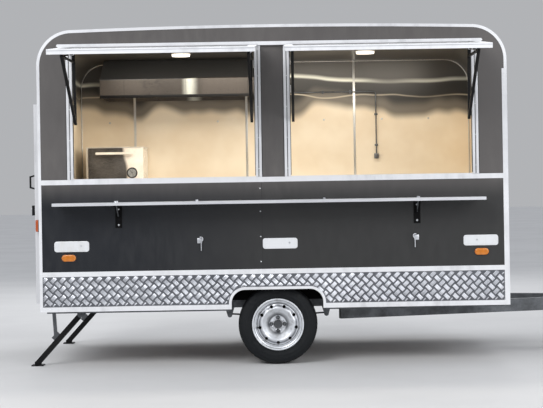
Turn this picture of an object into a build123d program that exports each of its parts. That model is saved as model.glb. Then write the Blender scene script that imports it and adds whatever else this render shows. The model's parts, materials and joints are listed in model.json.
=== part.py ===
from build123d import *
from math import cos, hypot, radians, sin
import os

# A towed food trailer on one axle, parked with its serving flaps open.
# Millimetres. +X is forward, towards the drawbar, +Z is up from the ground, and the
# serving side faces -Y. Every sketch is drawn in body coordinates, with X from the
# middle of the body and Y from its centre plane.

# Body shell
body_length = 3500
body_width = 2100
body_bottom = 424
roof_top = 2520
roof_camber = 22
roof_thickness = 90
roof_radius = 260
ceiling_radius = 220
wall = 40
floor_top = 500
floor_thickness = 30

# Edge trims and face strips
trim_thickness = 3
trim_roof_width = 19
trim_post_width = 35
trim_post_drop = 330
trim_wrap = 22
strip_thickness = 4
sill_strip_top = 1407
sill_strip_height = 37
skirt_top = 721
skirt_strip_height = 36
tread_thickness = 2.5

# Serving windows
end_post_width = 216
window_bottom = 1392
header_height = 132
pillar_width = 170
jamb_width = 46
head_height = 30
sill_height = 20
frame_proud = 8

# Serving flaps
flap_side_inset = 13
flap_thickness = 36
flap_ring_width = 36
flap_stile_width = 60
flap_panel_thickness = 28
flap_start = 14
flap_depth = 964
flap_tilt = 6
hinge_out = 32
hinge_drop = 10
hinge_pin_radius = 4
hinge_inset = 111.5
knuckle_radius = 9
knuckle_length = 60
knuckle_gap = 5
pin_clearance = 0.08

# Stays under the flaps
stay_inset = 56
stay_axis_drop = 18
stay_thickness = 20
stay_rod_radius = 6
stay_rod_start = 34
stay_post_at = 42
stay_reach = 640
stay_post_length = 516
stay_post_width = 12
stay_arm_drop = 60
stay_arm_width = 12
stay_brace_top = 22
stay_brace_bottom = 22
clip_length = 30
clip_near = 70
clip_far = 300
clip_radius = 10
clip_clearance = 6

# Head rail over the flaps
rail_height = 27
rail_proud = 34
rail_rear_inset = 150
rail_front_inset = 178
rail_taper = 16

# Serving shelf and its folding brackets
shelf_top = 1236
shelf_depth = 250
shelf_lip = 22
shelf_sheet = 3
shelf_rear_inset = 134
shelf_front_inset = 195
bracket_rear_inset = 592
bracket_front_inset = 684
bracket_leg_height = 175
bracket_leg_width = 50
bracket_sheet = 4
bracket_pivot_out = 26
bracket_pivot_drop = 22
bracket_arm_width = 40
bracket_arm_height = 32
bracket_arm_sheet = 3
brace_pivot_drop = 80
brace_length = 125
brace_width = 12
brace_thickness = 8
brace_seat = -3

# Running gear
axle_x = 15
tyre_radius = 298
tyre_width = 185
rim_radius = 178
rim_lip = 17
rim_width = 165
rim_holes = 9
rim_hole_ring = 139
rim_hole_radius = 12
tyre_outer_inset = 62
arch_length = 684
arch_ahead = 342
arch_top = 568
arch_radius = 100
arch_trim_width = 20
arch_trim_proud = 6
box_top = 690
box_sheet = 4
box_margin = 8
box_inner_reach = 285
axle_radius = 30
spindle_radius = 17.5
drum_radius = 105
spring_y = 715
spring_span = 740
spring_eye_height = 362
spring_width = 50
spring_leaf = 8

# Chassis and drawbar
frame_height = 60
rail_y = 720
rail_section = 60
cross_section = 40
cross_rear_inset = 600
cross_front_inset = 700
frame_box_gap = 10
drawbar_height = 100
drawbar_section = 50
drawbar_inset = 1260
drawbar_nose_back = 110
head_length = 190
head_margin = 30
jockey_plate_half = 60
jockey_plate_reach = 190
jockey_plate_thickness = 12
drawbar_reach = 1150
drawbar_nose_half = 45
coupling_radius = 42
ball_radius = 25
ball_clearance = 0.3
ball_height = 430
socket_depth = 25

# Jockey wheel
jockey_setback = 450
jockey_outer_radius = 30
jockey_inner_radius = 24
jockey_top = 880
jockey_bottom = 385
jockey_wheel_radius = 100
jockey_wheel_width = 60
jockey_trail = 45
jockey_axle_radius = 8
jockey_cap = 10
jockey_slide_gap = 0.5
crank_stem = 30
crank_arm = 130
crank_grip = 110
crank_section = 14
fork_plate = 5
fork_gap = 6
fork_pin_radius = 10
fork_pin_length = 30
fork_clearance = 12
fork_rear_reach = 62
fork_front_reach = 30
fork_cheek = 18
slider_top = 700
slider_wall = 5
slider_collar = 6

# Rear steadies
steady_y = 800
steady_pivot_inset = 265
steady_pivot_z = 385
steady_foot_back = 350
steady_section = 40
steady_pad_rear = 25
steady_pad_front = 65
steady_pad_width = 90
steady_pad_thickness = 8
steady_pin_radius = 6
steady_plate_half = 25
steady_rail_length = 600

# Rear door
door_latch_edge = -956
door_hinge_edge = -256
door_bottom = 482
door_top = 1978
door_thickness = 40
door_seal = 4
door_overlap = 30
door_axis_gap = 16
door_axis_out = 50
door_knuckle = 8
door_pin = 4
door_knuckle_length = 50
door_hinge_foot = 30
door_hinge_gap = 2
door_hinge_plate = 12
door_hinge_flange = 60
door_hinge_leaf = 4
door_hinge_low = 640
door_hinge_pitch = 590
door_strap = 40
door_edge_frame = 45
door_recess = 8
handle_out = 36
handle_section = 12
handle_bottom = 1345
handle_top = 1445
handle_slant = 10
handle_wide = 14
lock_bottom = 1145
lock_top = 1220
lock_out = 24
lock_wide = 40

# Fittings
lamp_proud = 12
cover_width = 260
cover_height = 80
cover_bottom = 870
cover_rear_inset = 110
cover_middle_x = -88
cover_front_inset = 340
marker_width = 115
marker_height = 60
marker_bottom = 795
marker_rear_inset = 217
marker_front_inset = 205
corner_radius = 20
tail_lamp_width = 50
tail_lamp_height = 96
tail_lamp_proud = 35
tail_lamp_middle = 1068
tail_lamp_inset = 14
latch_rear_x = -558
latch_front_inset = 690
latch_top = 972
latch_plate = 48
latch_rod_length = 94
latch_rod_width = 14
latch_proud = 20
ceiling_lamp_x = 750
ceiling_lamp_radius = 80
ceiling_lamp_drop = 30

# Inside
front_counter_height = 1385
front_counter_depth = 450
front_counter_inset = 800
back_counter_height = 1345
back_counter_depth = 560
worktop_thickness = 30
counter_leg = 40
counter_leg_rear = -600
counter_leg_front = 560
counter_shelf_height = 760
counter_shelf_thickness = 20
counter_gap = 20
hood_inset = 245
hood_length = 1445
hood_depth = 600
hood_height = 335
hood_face = 155
hood_slope_depth = 290
hood_sheet = 3
oven_inset = 104
oven_width = 480
oven_depth = 430
oven_height = 337
oven_margin = 15
oven_door = 14
oven_dial_radius = 46
oven_dial_x = 388
oven_dial_height = 120
oven_handle_length = 320
oven_handle_drop = 50
oven_handle_out = 44

# Derived sizes
half_length = body_length / 2
half_width = body_width / 2
ceiling_height = roof_top - roof_thickness
window_top = roof_top - header_height
rail_bottom = window_top
trim_post_top = roof_top - trim_post_drop
hood_bottom = ceiling_height - hood_height
arch_front = axle_x + arch_ahead
arch_rear = arch_front - arch_length
inner_half_length = half_length - wall
inner_half_width = half_width - wall
floor_bottom = floor_top - floor_thickness
frame_bottom = floor_bottom - frame_height
drawbar_bottom = frame_bottom - drawbar_height
window_width = (body_length - pillar_width) / 2 - end_post_width
coupling_x = half_length + drawbar_reach
jockey_x = coupling_x - jockey_setback
hinge_height = rail_bottom - hinge_drop
flap_cos = cos(radians(flap_tilt))
flap_sin = sin(radians(flap_tilt))
window_shift = (window_width + pillar_width) / 2
flap_half = window_width / 2 - flap_side_inset
rail_rear_end = -half_length + rail_rear_inset
rail_front_end = half_length - rail_front_inset
shelf_rear_end = -half_length + shelf_rear_inset
shelf_front_end = half_length - shelf_front_inset
cross_rear = -half_length + cross_rear_inset
cross_front = half_length - cross_front_inset
drawbar_start = half_length - drawbar_inset
drawbar_nose = coupling_x - drawbar_nose_back
steady_pivot_x = -half_length + steady_pivot_inset
steady_foot_x = steady_pivot_x - steady_foot_back
steady_rail_end = -inner_half_length + steady_rail_length
front_counter_rear_end = -half_length + front_counter_inset
hood_rear = -inner_half_length + hood_inset
hood_front = hood_rear + hood_length
oven_rear = -inner_half_length + oven_inset
door_face = half_length + door_seal + door_thickness
handle_reach = handle_out + handle_section / 2

# The frame's origin lies under the middle of the whole trailer.
reach_rear = max(door_face + handle_reach, steady_pad_rear - steady_foot_x)
reach_front = coupling_x + coupling_radius
reach_near = (
    half_width
    + hinge_out
    + flap_depth * flap_cos
    + flap_thickness / 2 * flap_sin
)
reach_far = half_width + lamp_proud
body_x = (reach_rear - reach_front) / 2
body_y = (reach_near - reach_far) / 2

windows = (("rear", -window_shift), ("front", window_shift))
bracket_positions = (-half_length + bracket_rear_inset, half_length - bracket_front_inset)
cover_places = (
    -half_length + cover_rear_inset,
    cover_middle_x,
    half_length - cover_front_inset,
)
marker_places = (-half_length + marker_rear_inset, half_length - marker_front_inset)
latch_positions = (latch_rear_x, half_length - latch_front_inset)
door_hinge_heights = [door_hinge_low + step * door_hinge_pitch for step in range(3)]
sides = (("right", -1), ("left", 1))

os.makedirs("parts", exist_ok=True)


def upright(y):
    """A plane along the body at this Y, facing the serving side."""
    return Plane((body_x, body_y + y, 0), x_dir=(1, 0, 0), z_dir=(0, -1, 0))


def across(x):
    """A plane across the body at this X, facing forward."""
    return Plane((body_x + x, body_y, 0), x_dir=(0, 1, 0), z_dir=(1, 0, 0))


def level(z):
    """A level plane at this height, facing up."""
    return Plane((body_x, body_y, z), x_dir=(1, 0, 0), z_dir=(0, 0, 1))


def flap_plane(x, w=0):
    """A plane along an open flap at w above its middle, with -Y running outward."""
    axis_y = -half_width - hinge_out
    plane = Plane(
        (body_x + x, body_y + axis_y, hinge_height),
        x_dir=(1, 0, 0),
        z_dir=(0, -flap_sin, flap_cos),
    )
    return plane.offset(w)


def flap_point(u, w):
    """Body Y and Z of a point u out along an open flap and w above its middle."""
    out = hinge_out + u * flap_cos + w * flap_sin
    return (-half_width - out, hinge_height - u * flap_sin + w * flap_cos)


def patch(x_from, x_to, y_from, y_to, mode=Mode.ADD):
    """Adds a rectangle between these coordinates to the open sketch."""
    with Locations(((x_from + x_to) / 2, (y_from + y_to) / 2)):
        Rectangle(abs(x_to - x_from), abs(y_to - y_from), mode=mode)


def tombstone(half, bottom, top, radius, middle=0, camber=0, mode=Mode.ADD):
    """Adds a face with a flat bottom and two round top corners to the open sketch."""
    shoulder = half - radius
    with BuildLine() as rim:
        Line((middle - half, top - radius), (middle - half, bottom))
        Line((middle - half, bottom), (middle + half, bottom))
        Line((middle + half, bottom), (middle + half, top - radius))
        CenterArc((middle + half - radius, top - radius), radius, 0, 90)
        if camber:
            ThreePointArc(
                (middle + shoulder, top),
                (middle, top + camber),
                (middle - shoulder, top),
            )
        else:
            Line((middle + shoulder, top), (middle - shoulder, top))
        CenterArc((middle - half + radius, top - radius), radius, 90, 90)
    make_face(rim.edges(), mode=mode)


def bar(start, end, width_start, width_end, mode=Mode.ADD):
    """Adds a straight bar between two points, which may taper, to the open sketch."""
    dx = end[0] - start[0]
    dy = end[1] - start[1]
    length = hypot(dx, dy)
    nx = -dy / length
    ny = dx / length
    corners = [
        (start[0] + nx * width_start / 2, start[1] + ny * width_start / 2),
        (start[0] - nx * width_start / 2, start[1] - ny * width_start / 2),
        (end[0] - nx * width_end / 2, end[1] - ny * width_end / 2),
        (end[0] + nx * width_end / 2, end[1] + ny * width_end / 2),
    ]
    with BuildLine() as rim:
        Polyline(*corners, close=True)
    make_face(rim.edges(), mode=mode)


def save(piece, name):
    """Labels a finished piece and writes its STEP file."""
    piece.part.label = name
    export_step(piece.part, f"parts/{name}.step")


arch_middle = (arch_rear + arch_front) / 2
arch_half = (arch_front - arch_rear) / 2

# Side walls: the serving wall with two windows and both with a wheel arch
with BuildPart() as serving_wall:
    with BuildSketch(upright(-half_width)):
        tombstone(half_length, body_bottom, roof_top, roof_radius, camber=roof_camber)
        for name, centre in windows:
            patch(
                centre - window_width / 2,
                centre + window_width / 2,
                window_bottom,
                window_top,
                mode=Mode.SUBTRACT,
            )
        tombstone(
            arch_half, 0, arch_top, arch_radius, arch_middle, mode=Mode.SUBTRACT
        )
    extrude(amount=-wall)
save(serving_wall, "serving_wall")

with BuildPart() as back_wall:
    with BuildSketch(upright(half_width)):
        tombstone(half_length, body_bottom, roof_top, roof_radius, camber=roof_camber)
        tombstone(
            arch_half, 0, arch_top, arch_radius, arch_middle, mode=Mode.SUBTRACT
        )
    extrude(amount=wall)
save(back_wall, "back_wall")

# Roof with its two bends, down to where the end walls begin
bend_foot = ceiling_height - ceiling_radius
with BuildPart() as roof:
    with BuildSketch(upright(-inner_half_width)):
        tombstone(half_length, bend_foot, roof_top, roof_radius, camber=roof_camber)
        tombstone(
            inner_half_length,
            bend_foot - 1,
            ceiling_height,
            ceiling_radius,
            mode=Mode.SUBTRACT,
        )
    extrude(amount=-2 * inner_half_width)
save(roof, "roof")

# End walls, the rear one with its doorway
with BuildPart() as front_end_wall:
    with BuildSketch(across(inner_half_length)):
        patch(-inner_half_width, inner_half_width, body_bottom, bend_foot)
    extrude(amount=wall)
save(front_end_wall, "front_end_wall")

with BuildPart() as rear_end_wall:
    with BuildSketch(across(-half_length)):
        patch(-inner_half_width, inner_half_width, body_bottom, bend_foot)
        patch(
            door_latch_edge + door_overlap,
            door_hinge_edge - door_overlap,
            floor_top,
            door_top - door_overlap,
            mode=Mode.SUBTRACT,
        )
    extrude(amount=wall)
save(rear_end_wall, "rear_end_wall")

# Floor with an opening over each wheel
box_rear = arch_rear - box_margin
box_front = arch_front + box_margin
box_inner = half_width - box_inner_reach
with BuildPart() as floor:
    with BuildSketch(level(floor_bottom)):
        patch(
            -inner_half_length,
            inner_half_length,
            -inner_half_width,
            inner_half_width,
        )
        for name, side in sides:
            patch(
                box_rear,
                box_front,
                side * box_inner,
                side * inner_half_width,
                mode=Mode.SUBTRACT,
            )
    extrude(amount=floor_thickness)
save(floor, "floor")

# Wheel boxes: sheet arches over the wheels, closed on the inner side
with BuildPart() as wheel_boxes:
    for name, side in sides:
        with BuildSketch(upright(side * box_inner)):
            tombstone(
                arch_half + box_margin,
                floor_bottom,
                box_top,
                arch_radius + box_margin,
                arch_middle,
            )
            tombstone(
                arch_half + box_margin - box_sheet,
                floor_bottom - 1,
                box_top - box_sheet,
                arch_radius + box_margin - box_sheet,
                arch_middle,
                mode=Mode.SUBTRACT,
            )
        extrude(amount=-side * (inner_half_width - box_inner))
        with BuildSketch(upright(side * box_inner)):
            tombstone(
                arch_half + box_margin,
                floor_bottom,
                box_top,
                arch_radius + box_margin,
                arch_middle,
            )
        extrude(amount=-side * box_sheet)
save(wheel_boxes, "wheel_boxes")

# Edge trims: a band round each side wall that wraps over the roof and the ends, with
# a wider post at the front end
post_inner = half_length - trim_post_width
rear_inner = -half_length + trim_roof_width
with BuildPart() as edge_trims:
    for name, side in sides:
        with BuildSketch(upright(side * half_width)):
            tombstone(half_length, body_bottom, roof_top, roof_radius, camber=roof_camber)
            tombstone(
                half_length - trim_roof_width,
                body_bottom - 1,
                roof_top - trim_roof_width,
                roof_radius - trim_roof_width,
                camber=roof_camber,
                mode=Mode.SUBTRACT,
            )
            patch(post_inner, half_length, body_bottom, trim_post_top)
        extrude(amount=-side * trim_thickness)
        with BuildSketch(upright(side * (half_width + trim_thickness))):
            tombstone(
                half_length + trim_thickness,
                body_bottom,
                roof_top + trim_thickness,
                roof_radius + trim_thickness,
                camber=roof_camber,
            )
            tombstone(
                half_length,
                body_bottom - 1,
                roof_top,
                roof_radius,
                camber=roof_camber,
                mode=Mode.SUBTRACT,
            )
        extrude(amount=side * (trim_wrap + trim_thickness))
save(edge_trims, "edge_trims")

# Face strips along both sides, cut where they meet the wheel arches
sill_strip_bottom = sill_strip_top - sill_strip_height
with BuildPart() as face_strips:
    for name, side in sides:
        with BuildSketch(upright(side * half_width)):
            patch(rear_inner, post_inner, skirt_top - skirt_strip_height, skirt_top)
            patch(
                rear_inner, post_inner, body_bottom, body_bottom + skirt_strip_height
            )
            tombstone(
                arch_half + arch_trim_width,
                0,
                arch_top + arch_trim_width,
                arch_radius + arch_trim_width,
                arch_middle,
                mode=Mode.SUBTRACT,
            )
        extrude(amount=-side * strip_thickness)
    with BuildSketch(upright(-half_width)):
        patch(rear_inner, post_inner, sill_strip_bottom, sill_strip_top)
    extrude(amount=strip_thickness)
save(face_strips, "face_strips")

# Tread plate skirts between the strips
with BuildPart() as tread_skirts:
    for name, side in sides:
        with BuildSketch(upright(side * half_width)):
            patch(
                rear_inner,
                post_inner,
                body_bottom + skirt_strip_height,
                skirt_top - skirt_strip_height,
            )
            tombstone(
                arch_half + arch_trim_width,
                0,
                arch_top + arch_trim_width,
                arch_radius + arch_trim_width,
                arch_middle,
                mode=Mode.SUBTRACT,
            )
        extrude(amount=-side * tread_thickness)
save(tread_skirts, "tread_skirts")

# Trims round the wheel arches
with BuildPart() as arch_trims:
    for name, side in sides:
        with BuildSketch(upright(side * half_width)):
            tombstone(
                arch_half + arch_trim_width,
                body_bottom,
                arch_top + arch_trim_width,
                arch_radius + arch_trim_width,
                arch_middle,
            )
            tombstone(
                arch_half,
                body_bottom - 1,
                arch_top,
                arch_radius,
                arch_middle,
                mode=Mode.SUBTRACT,
            )
        extrude(amount=-side * arch_trim_proud)
save(arch_trims, "arch_trims")

# Window frames, which fill the wall's cut-outs and stand a little proud
with BuildPart() as window_frames:
    for name, centre in windows:
        with BuildSketch(upright(-half_width - frame_proud)):
            patch(
                centre - window_width / 2,
                centre + window_width / 2,
                sill_strip_top,
                window_top,
            )
            patch(
                centre - window_width / 2 + jamb_width,
                centre + window_width / 2 - jamb_width,
                sill_strip_top - 1,
                window_top - head_height,
                mode=Mode.SUBTRACT,
            )
        extrude(amount=-frame_proud)
        with BuildSketch(upright(-half_width)):
            patch(
                centre - window_width / 2,
                centre + window_width / 2,
                window_bottom,
                window_top,
            )
            patch(
                centre - window_width / 2 + jamb_width,
                centre + window_width / 2 - jamb_width,
                window_bottom + sill_height,
                window_top - head_height,
                mode=Mode.SUBTRACT,
            )
        extrude(amount=-wall)
save(window_frames, "window_frames")

# Head rail over both flaps, cut slanting at its ends
with BuildPart() as head_rail:
    with BuildSketch(upright(-half_width)):
        with BuildLine():
            Polyline(
                (rail_rear_end + rail_taper, rail_bottom),
                (rail_front_end - rail_taper, rail_bottom),
                (rail_front_end, rail_bottom + rail_height / 2),
                (rail_front_end - rail_taper / 2, rail_bottom + rail_height),
                (rail_rear_end + rail_taper / 2, rail_bottom + rail_height),
                (rail_rear_end, rail_bottom + rail_height / 2),
                close=True,
            )
        make_face()
    extrude(amount=rail_proud)
save(head_rail, "head_rail")

# Flap hinges: knuckles under the head rail with their pins
axis_y = -half_width - hinge_out
hinge_spread = flap_half - hinge_inset
rail_knuckles = (-hinge_spread, 0, hinge_spread)
knuckle_step = knuckle_length + knuckle_gap
flap_knuckles = (
    knuckle_step - hinge_spread,
    -knuckle_step,
    knuckle_step,
    hinge_spread - knuckle_step,
)
with BuildPart() as flap_hinges:
    for name, centre in windows:
        for place in rail_knuckles:
            with BuildSketch(across(centre + place - knuckle_length / 2)):
                with Locations((axis_y, hinge_height)):
                    Circle(knuckle_radius)
                patch(
                    axis_y - knuckle_radius,
                    axis_y + knuckle_radius,
                    hinge_height,
                    rail_bottom,
                )
                patch(
                    -half_width - rail_proud,
                    axis_y + knuckle_radius + hinge_drop,
                    hinge_height + knuckle_radius - 1,
                    rail_bottom,
                )
            extrude(amount=knuckle_length)
        with BuildSketch(across(centre + rail_knuckles[0])):
            with Locations((axis_y, hinge_height)):
                Circle(hinge_pin_radius)
        extrude(amount=rail_knuckles[-1] - rail_knuckles[0])
save(flap_hinges, "flap_hinges")

# Serving flaps: an edge frame with knuckles and stay clips, and its panel
stay_half = flap_half - stay_inset
stay_w = -flap_thickness / 2 - stay_axis_drop
clip_outer = window_width / 2 - jamb_width - clip_clearance
for name, centre in windows:
    with BuildPart() as flap_frame:
        with BuildSketch(flap_plane(centre, -flap_thickness / 2)):
            patch(-flap_half, flap_half, -flap_depth, -flap_start)
            patch(
                -flap_half + flap_stile_width,
                flap_half - flap_stile_width,
                -flap_depth + flap_ring_width,
                -flap_start - flap_ring_width,
                mode=Mode.SUBTRACT,
            )
        extrude(amount=flap_thickness)
        for place in flap_knuckles:
            knuckle_plane = Plane(
                (
                    body_x + centre + place - knuckle_length / 2,
                    body_y + axis_y,
                    hinge_height,
                ),
                x_dir=(0, -flap_cos, -flap_sin),
                z_dir=(1, 0, 0),
            )
            with BuildSketch(knuckle_plane):
                Circle(knuckle_radius)
                patch(0, flap_start, -knuckle_radius, knuckle_radius)
                Circle(hinge_pin_radius + pin_clearance, mode=Mode.SUBTRACT)
            extrude(amount=knuckle_length)
        for side in (-1, 1):
            for clip in (clip_near, clip_far):
                clip_plane = Plane(
                    flap_plane(centre).from_local_coords((0, -clip, 0)),
                    x_dir=(1, 0, 0),
                    z_dir=(0, -flap_cos, -flap_sin),
                )
                with BuildSketch(clip_plane):
                    patch(
                        side * (stay_half - clip_radius),
                        side * clip_outer,
                        stay_w,
                        -flap_thickness / 2,
                    )
                    with Locations((side * stay_half, stay_w)):
                        Circle(clip_radius)
                        Circle(stay_rod_radius + pin_clearance, mode=Mode.SUBTRACT)
                extrude(amount=clip_length)
    save(flap_frame, f"flap_{name}_frame")

    with BuildPart() as flap_panel:
        with BuildSketch(flap_plane(centre, -flap_panel_thickness / 2)):
            patch(
                -flap_half + flap_stile_width,
                flap_half - flap_stile_width,
                -flap_depth + flap_ring_width,
                -flap_start - flap_ring_width,
            )
        extrude(amount=flap_panel_thickness)
    save(flap_panel, f"flap_{name}_panel")

    # Stays: a rod in the flap's clips carries a post, a top arm and a long brace
    for end, side in (("rear", -1), ("front", 1)):
        stay_x = centre + side * stay_half
        with BuildPart() as stay:
            rod_plane = Plane(
                flap_plane(stay_x).from_local_coords((0, -stay_rod_start, stay_w)),
                x_dir=(1, 0, 0),
                z_dir=(0, -flap_cos, -flap_sin),
            )
            with BuildSketch(rod_plane):
                Circle(stay_rod_radius)
            extrude(amount=stay_reach - stay_rod_start)
            post_top = flap_point(stay_post_at, stay_w)
            post_foot = flap_point(stay_post_at, stay_w - stay_post_length)
            arm_inner = flap_point(stay_post_at, stay_w - stay_arm_drop)
            arm_outer = flap_point(stay_reach, stay_w)
            with BuildSketch(across(stay_x - stay_thickness / 2)):
                bar(post_top, post_foot, stay_post_width, stay_post_width)
                bar(arm_inner, arm_outer, stay_arm_width, stay_arm_width)
                bar(post_foot, arm_outer, stay_brace_bottom, stay_brace_top)
                with Locations(arm_outer):
                    Circle(stay_brace_top / 2)
                with Locations(post_foot):
                    Circle(stay_brace_bottom / 2)
            extrude(amount=stay_thickness)
        save(stay, f"flap_{name}_stay_{end}")

# Serving shelf: a folded sheet with a channel arm under it at each bracket
pivot_z = shelf_top - bracket_pivot_drop
pivot_y = -half_width - bracket_pivot_out
shelf_edge = -half_width - shelf_depth
shelf_back = -half_width - 8
arm_top = shelf_top - shelf_sheet
arm_bottom = arm_top - bracket_arm_height
arm_back = pivot_y + 14
arm_front = shelf_edge + shelf_sheet + 6
with BuildPart() as shelf:
    with BuildSketch(across(shelf_rear_end)):
        with BuildLine():
            Polyline(
                (shelf_back, shelf_top - shelf_sheet / 2),
                (shelf_edge + shelf_sheet / 2, shelf_top - shelf_sheet / 2),
                (shelf_edge + shelf_sheet / 2, shelf_top - shelf_lip),
            )
        trace(line_width=shelf_sheet)
    extrude(amount=shelf_front_end - shelf_rear_end)
save(shelf, "shelf")

with BuildPart() as shelf_arms:
    for place in bracket_positions:
        half = bracket_arm_width / 2
        with BuildSketch(upright(arm_front)):
            patch(place - half, place + half, arm_bottom, arm_top)
            patch(
                place - half + bracket_arm_sheet,
                place + half - bracket_arm_sheet,
                arm_bottom - 1,
                arm_top - bracket_arm_sheet,
                mode=Mode.SUBTRACT,
            )
        extrude(amount=-(arm_back - arm_front))
        for face in (-half, half - bracket_arm_sheet):
            with BuildSketch(across(place + face)):
                with Locations((pivot_y, pivot_z)):
                    Circle(hinge_pin_radius + pin_clearance)
            extrude(amount=bracket_arm_sheet, mode=Mode.SUBTRACT)
save(shelf_arms, "shelf_arms")

# Wall legs of the shelf brackets, with ears for both pivots
brace_y = pivot_y
brace_z = pivot_z - brace_pivot_drop
ear_outer = bracket_arm_width / 2 + 1
ear_inner = brace_thickness / 2 + 2
with BuildPart() as shelf_legs:
    for place in bracket_positions:
        with BuildSketch(upright(-half_width)):
            patch(
                place - bracket_leg_width / 2,
                place + bracket_leg_width / 2,
                arm_bottom + 18 - bracket_leg_height,
                arm_bottom + 18,
            )
        extrude(amount=bracket_sheet)
        # columns: first face of the ear, height of its pivot, radius round the pin
        ears = (
            (place - ear_outer - bracket_arm_sheet, pivot_z, 11),
            (place + ear_outer, pivot_z, 11),
            (place - ear_inner - bracket_arm_sheet, brace_z, 9),
            (place + ear_inner, brace_z, 9),
        )
        for face, height, radius in ears:
            with BuildSketch(across(face)):
                with Locations((pivot_y, height)):
                    Circle(radius)
                patch(pivot_y, -half_width, height - radius, height + radius)
            extrude(amount=bracket_arm_sheet)
        # columns: height of the pin, half of its length
        pins = (
            (pivot_z, ear_outer + bracket_arm_sheet),
            (brace_z, ear_inner + bracket_arm_sheet),
        )
        for height, half in pins:
            with BuildSketch(across(place - half)):
                with Locations((pivot_y, height)):
                    Circle(hinge_pin_radius)
            extrude(amount=2 * half)
save(shelf_legs, "shelf_legs")

# Braces of the shelf brackets, whose upper ends run inside the arms
brace_rise = brace_pivot_drop + brace_seat
brace_run = (brace_length**2 - brace_rise**2) ** 0.5
with BuildPart() as shelf_braces:
    for place in bracket_positions:
        with BuildSketch(across(place - brace_thickness / 2)):
            foot = (brace_y, brace_z)
            head = (brace_y - brace_run, brace_z + brace_rise)
            bar(foot, head, brace_width, brace_width)
            with Locations(foot, head):
                Circle(brace_width / 2)
            with Locations(foot):
                Circle(hinge_pin_radius + pin_clearance, mode=Mode.SUBTRACT)
        extrude(amount=brace_thickness)
save(shelf_braces, "shelf_braces")

# Chassis rails: two long ones, four beside the wheel boxes and two over the steadies
box_side_rear = box_rear - frame_box_gap
box_side_front = box_front + frame_box_gap
rail_inner = rail_y - rail_section
side_rail_inner = inner_half_width - cross_section
steady_rail_inner = steady_y - rail_section / 2
steady_rail_outer = steady_y + rail_section / 2
with BuildPart() as chassis_rails:
    with BuildSketch(level(frame_bottom)):
        for side in (-1, 1):
            # columns: X from, X to, inner Y, outer Y
            rails = (
                (-inner_half_length, inner_half_length, rail_inner, rail_y),
                (-inner_half_length, box_side_rear, side_rail_inner, inner_half_width),
                (box_side_front, inner_half_length, side_rail_inner, inner_half_width),
                (-inner_half_length, steady_rail_end, steady_rail_inner, steady_rail_outer),
            )
            for x_from, x_to, inner, outer in rails:
                patch(x_from, x_to, side * inner, side * outer)
    extrude(amount=frame_height)
save(chassis_rails, "chassis_rails")

# Cross members, which fit between the chassis rails
cross_places = (
    -inner_half_length,
    cross_rear,
    box_side_rear - cross_section,
    box_side_front,
    cross_front,
    inner_half_length - cross_section,
)
with BuildPart() as cross_members:
    with BuildSketch(level(frame_bottom)):
        for place in cross_places:
            patch(place, place + cross_section, -rail_inner, rail_inner)
            for side in (-1, 1):
                patch(
                    place,
                    place + cross_section,
                    side * rail_y,
                    side * side_rail_inner,
                )
        for side in (-1, 1):
            patch(
                -inner_half_length,
                steady_rail_end,
                side * steady_rail_inner,
                side * steady_rail_outer,
                mode=Mode.SUBTRACT,
            )
    extrude(amount=frame_height)
save(cross_members, "cross_members")

# Drawbar: two tubes that run together under the chassis, with a head plate
arm_start_y = rail_y - rail_section / 2
head_half = drawbar_nose_half + head_margin
with BuildPart() as drawbar:
    with BuildSketch(level(drawbar_bottom)):
        for side in (-1, 1):
            bar(
                (drawbar_start, side * arm_start_y),
                (drawbar_nose, side * drawbar_nose_half),
                drawbar_section,
                drawbar_section,
            )
        patch(drawbar_nose - head_length, drawbar_nose, -head_half, head_half)
    extrude(amount=drawbar_height)
    with BuildSketch(level(frame_bottom)):
        patch(
            jockey_x - jockey_plate_half,
            jockey_x + jockey_plate_half,
            -jockey_plate_reach,
            jockey_plate_reach,
        )
        with Locations((jockey_x, 0)):
            Circle(jockey_outer_radius, mode=Mode.SUBTRACT)
    extrude(amount=jockey_plate_thickness)
save(drawbar, "drawbar")

# Tow coupling: a socket over the ball, with its body, bolts and lever
coupling_base = frame_bottom
socket_bottom = ball_height - socket_depth
with BuildPart() as tow_coupling:
    with BuildSketch(level(coupling_base)):
        patch(coupling_x - 280, coupling_x - 100, -40, 40)
    with BuildSketch(level(coupling_base + 30)):
        patch(coupling_x - 280, coupling_x - 100, -28, 28)
    loft()
    with BuildSketch(level(coupling_base)):
        patch(coupling_x - 110, coupling_x, -30, 30)
    extrude(amount=42)
    with BuildSketch(level(socket_bottom)):
        with Locations((coupling_x, 0)):
            Circle(coupling_radius)
    extrude(amount=socket_depth + 20)
    with Locations((body_x + coupling_x, body_y, ball_height + 10)):
        Sphere(coupling_radius - 4)
    with BuildSketch(level(socket_bottom - 10)):
        with Locations((coupling_x, 0)):
            Circle(ball_radius + ball_clearance)
    extrude(amount=socket_depth + 10, mode=Mode.SUBTRACT)
    with Locations((body_x + coupling_x, body_y, ball_height)):
        Sphere(ball_radius + ball_clearance, mode=Mode.SUBTRACT)
save(tow_coupling, "tow_coupling")

with BuildPart() as coupling_lever:
    with BuildSketch(upright(14)):
        with BuildLine():
            Polyline(
                (coupling_x - 60, coupling_base + 48),
                (coupling_x - 100, coupling_base + 84),
                (coupling_x - 210, coupling_base + 92),
            )
        trace(line_width=12)
        patch(
            coupling_x - 75,
            coupling_x - 45,
            coupling_base + 42,
            coupling_base + 56,
        )
    extrude(amount=28)
save(coupling_lever, "coupling_lever")

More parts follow.
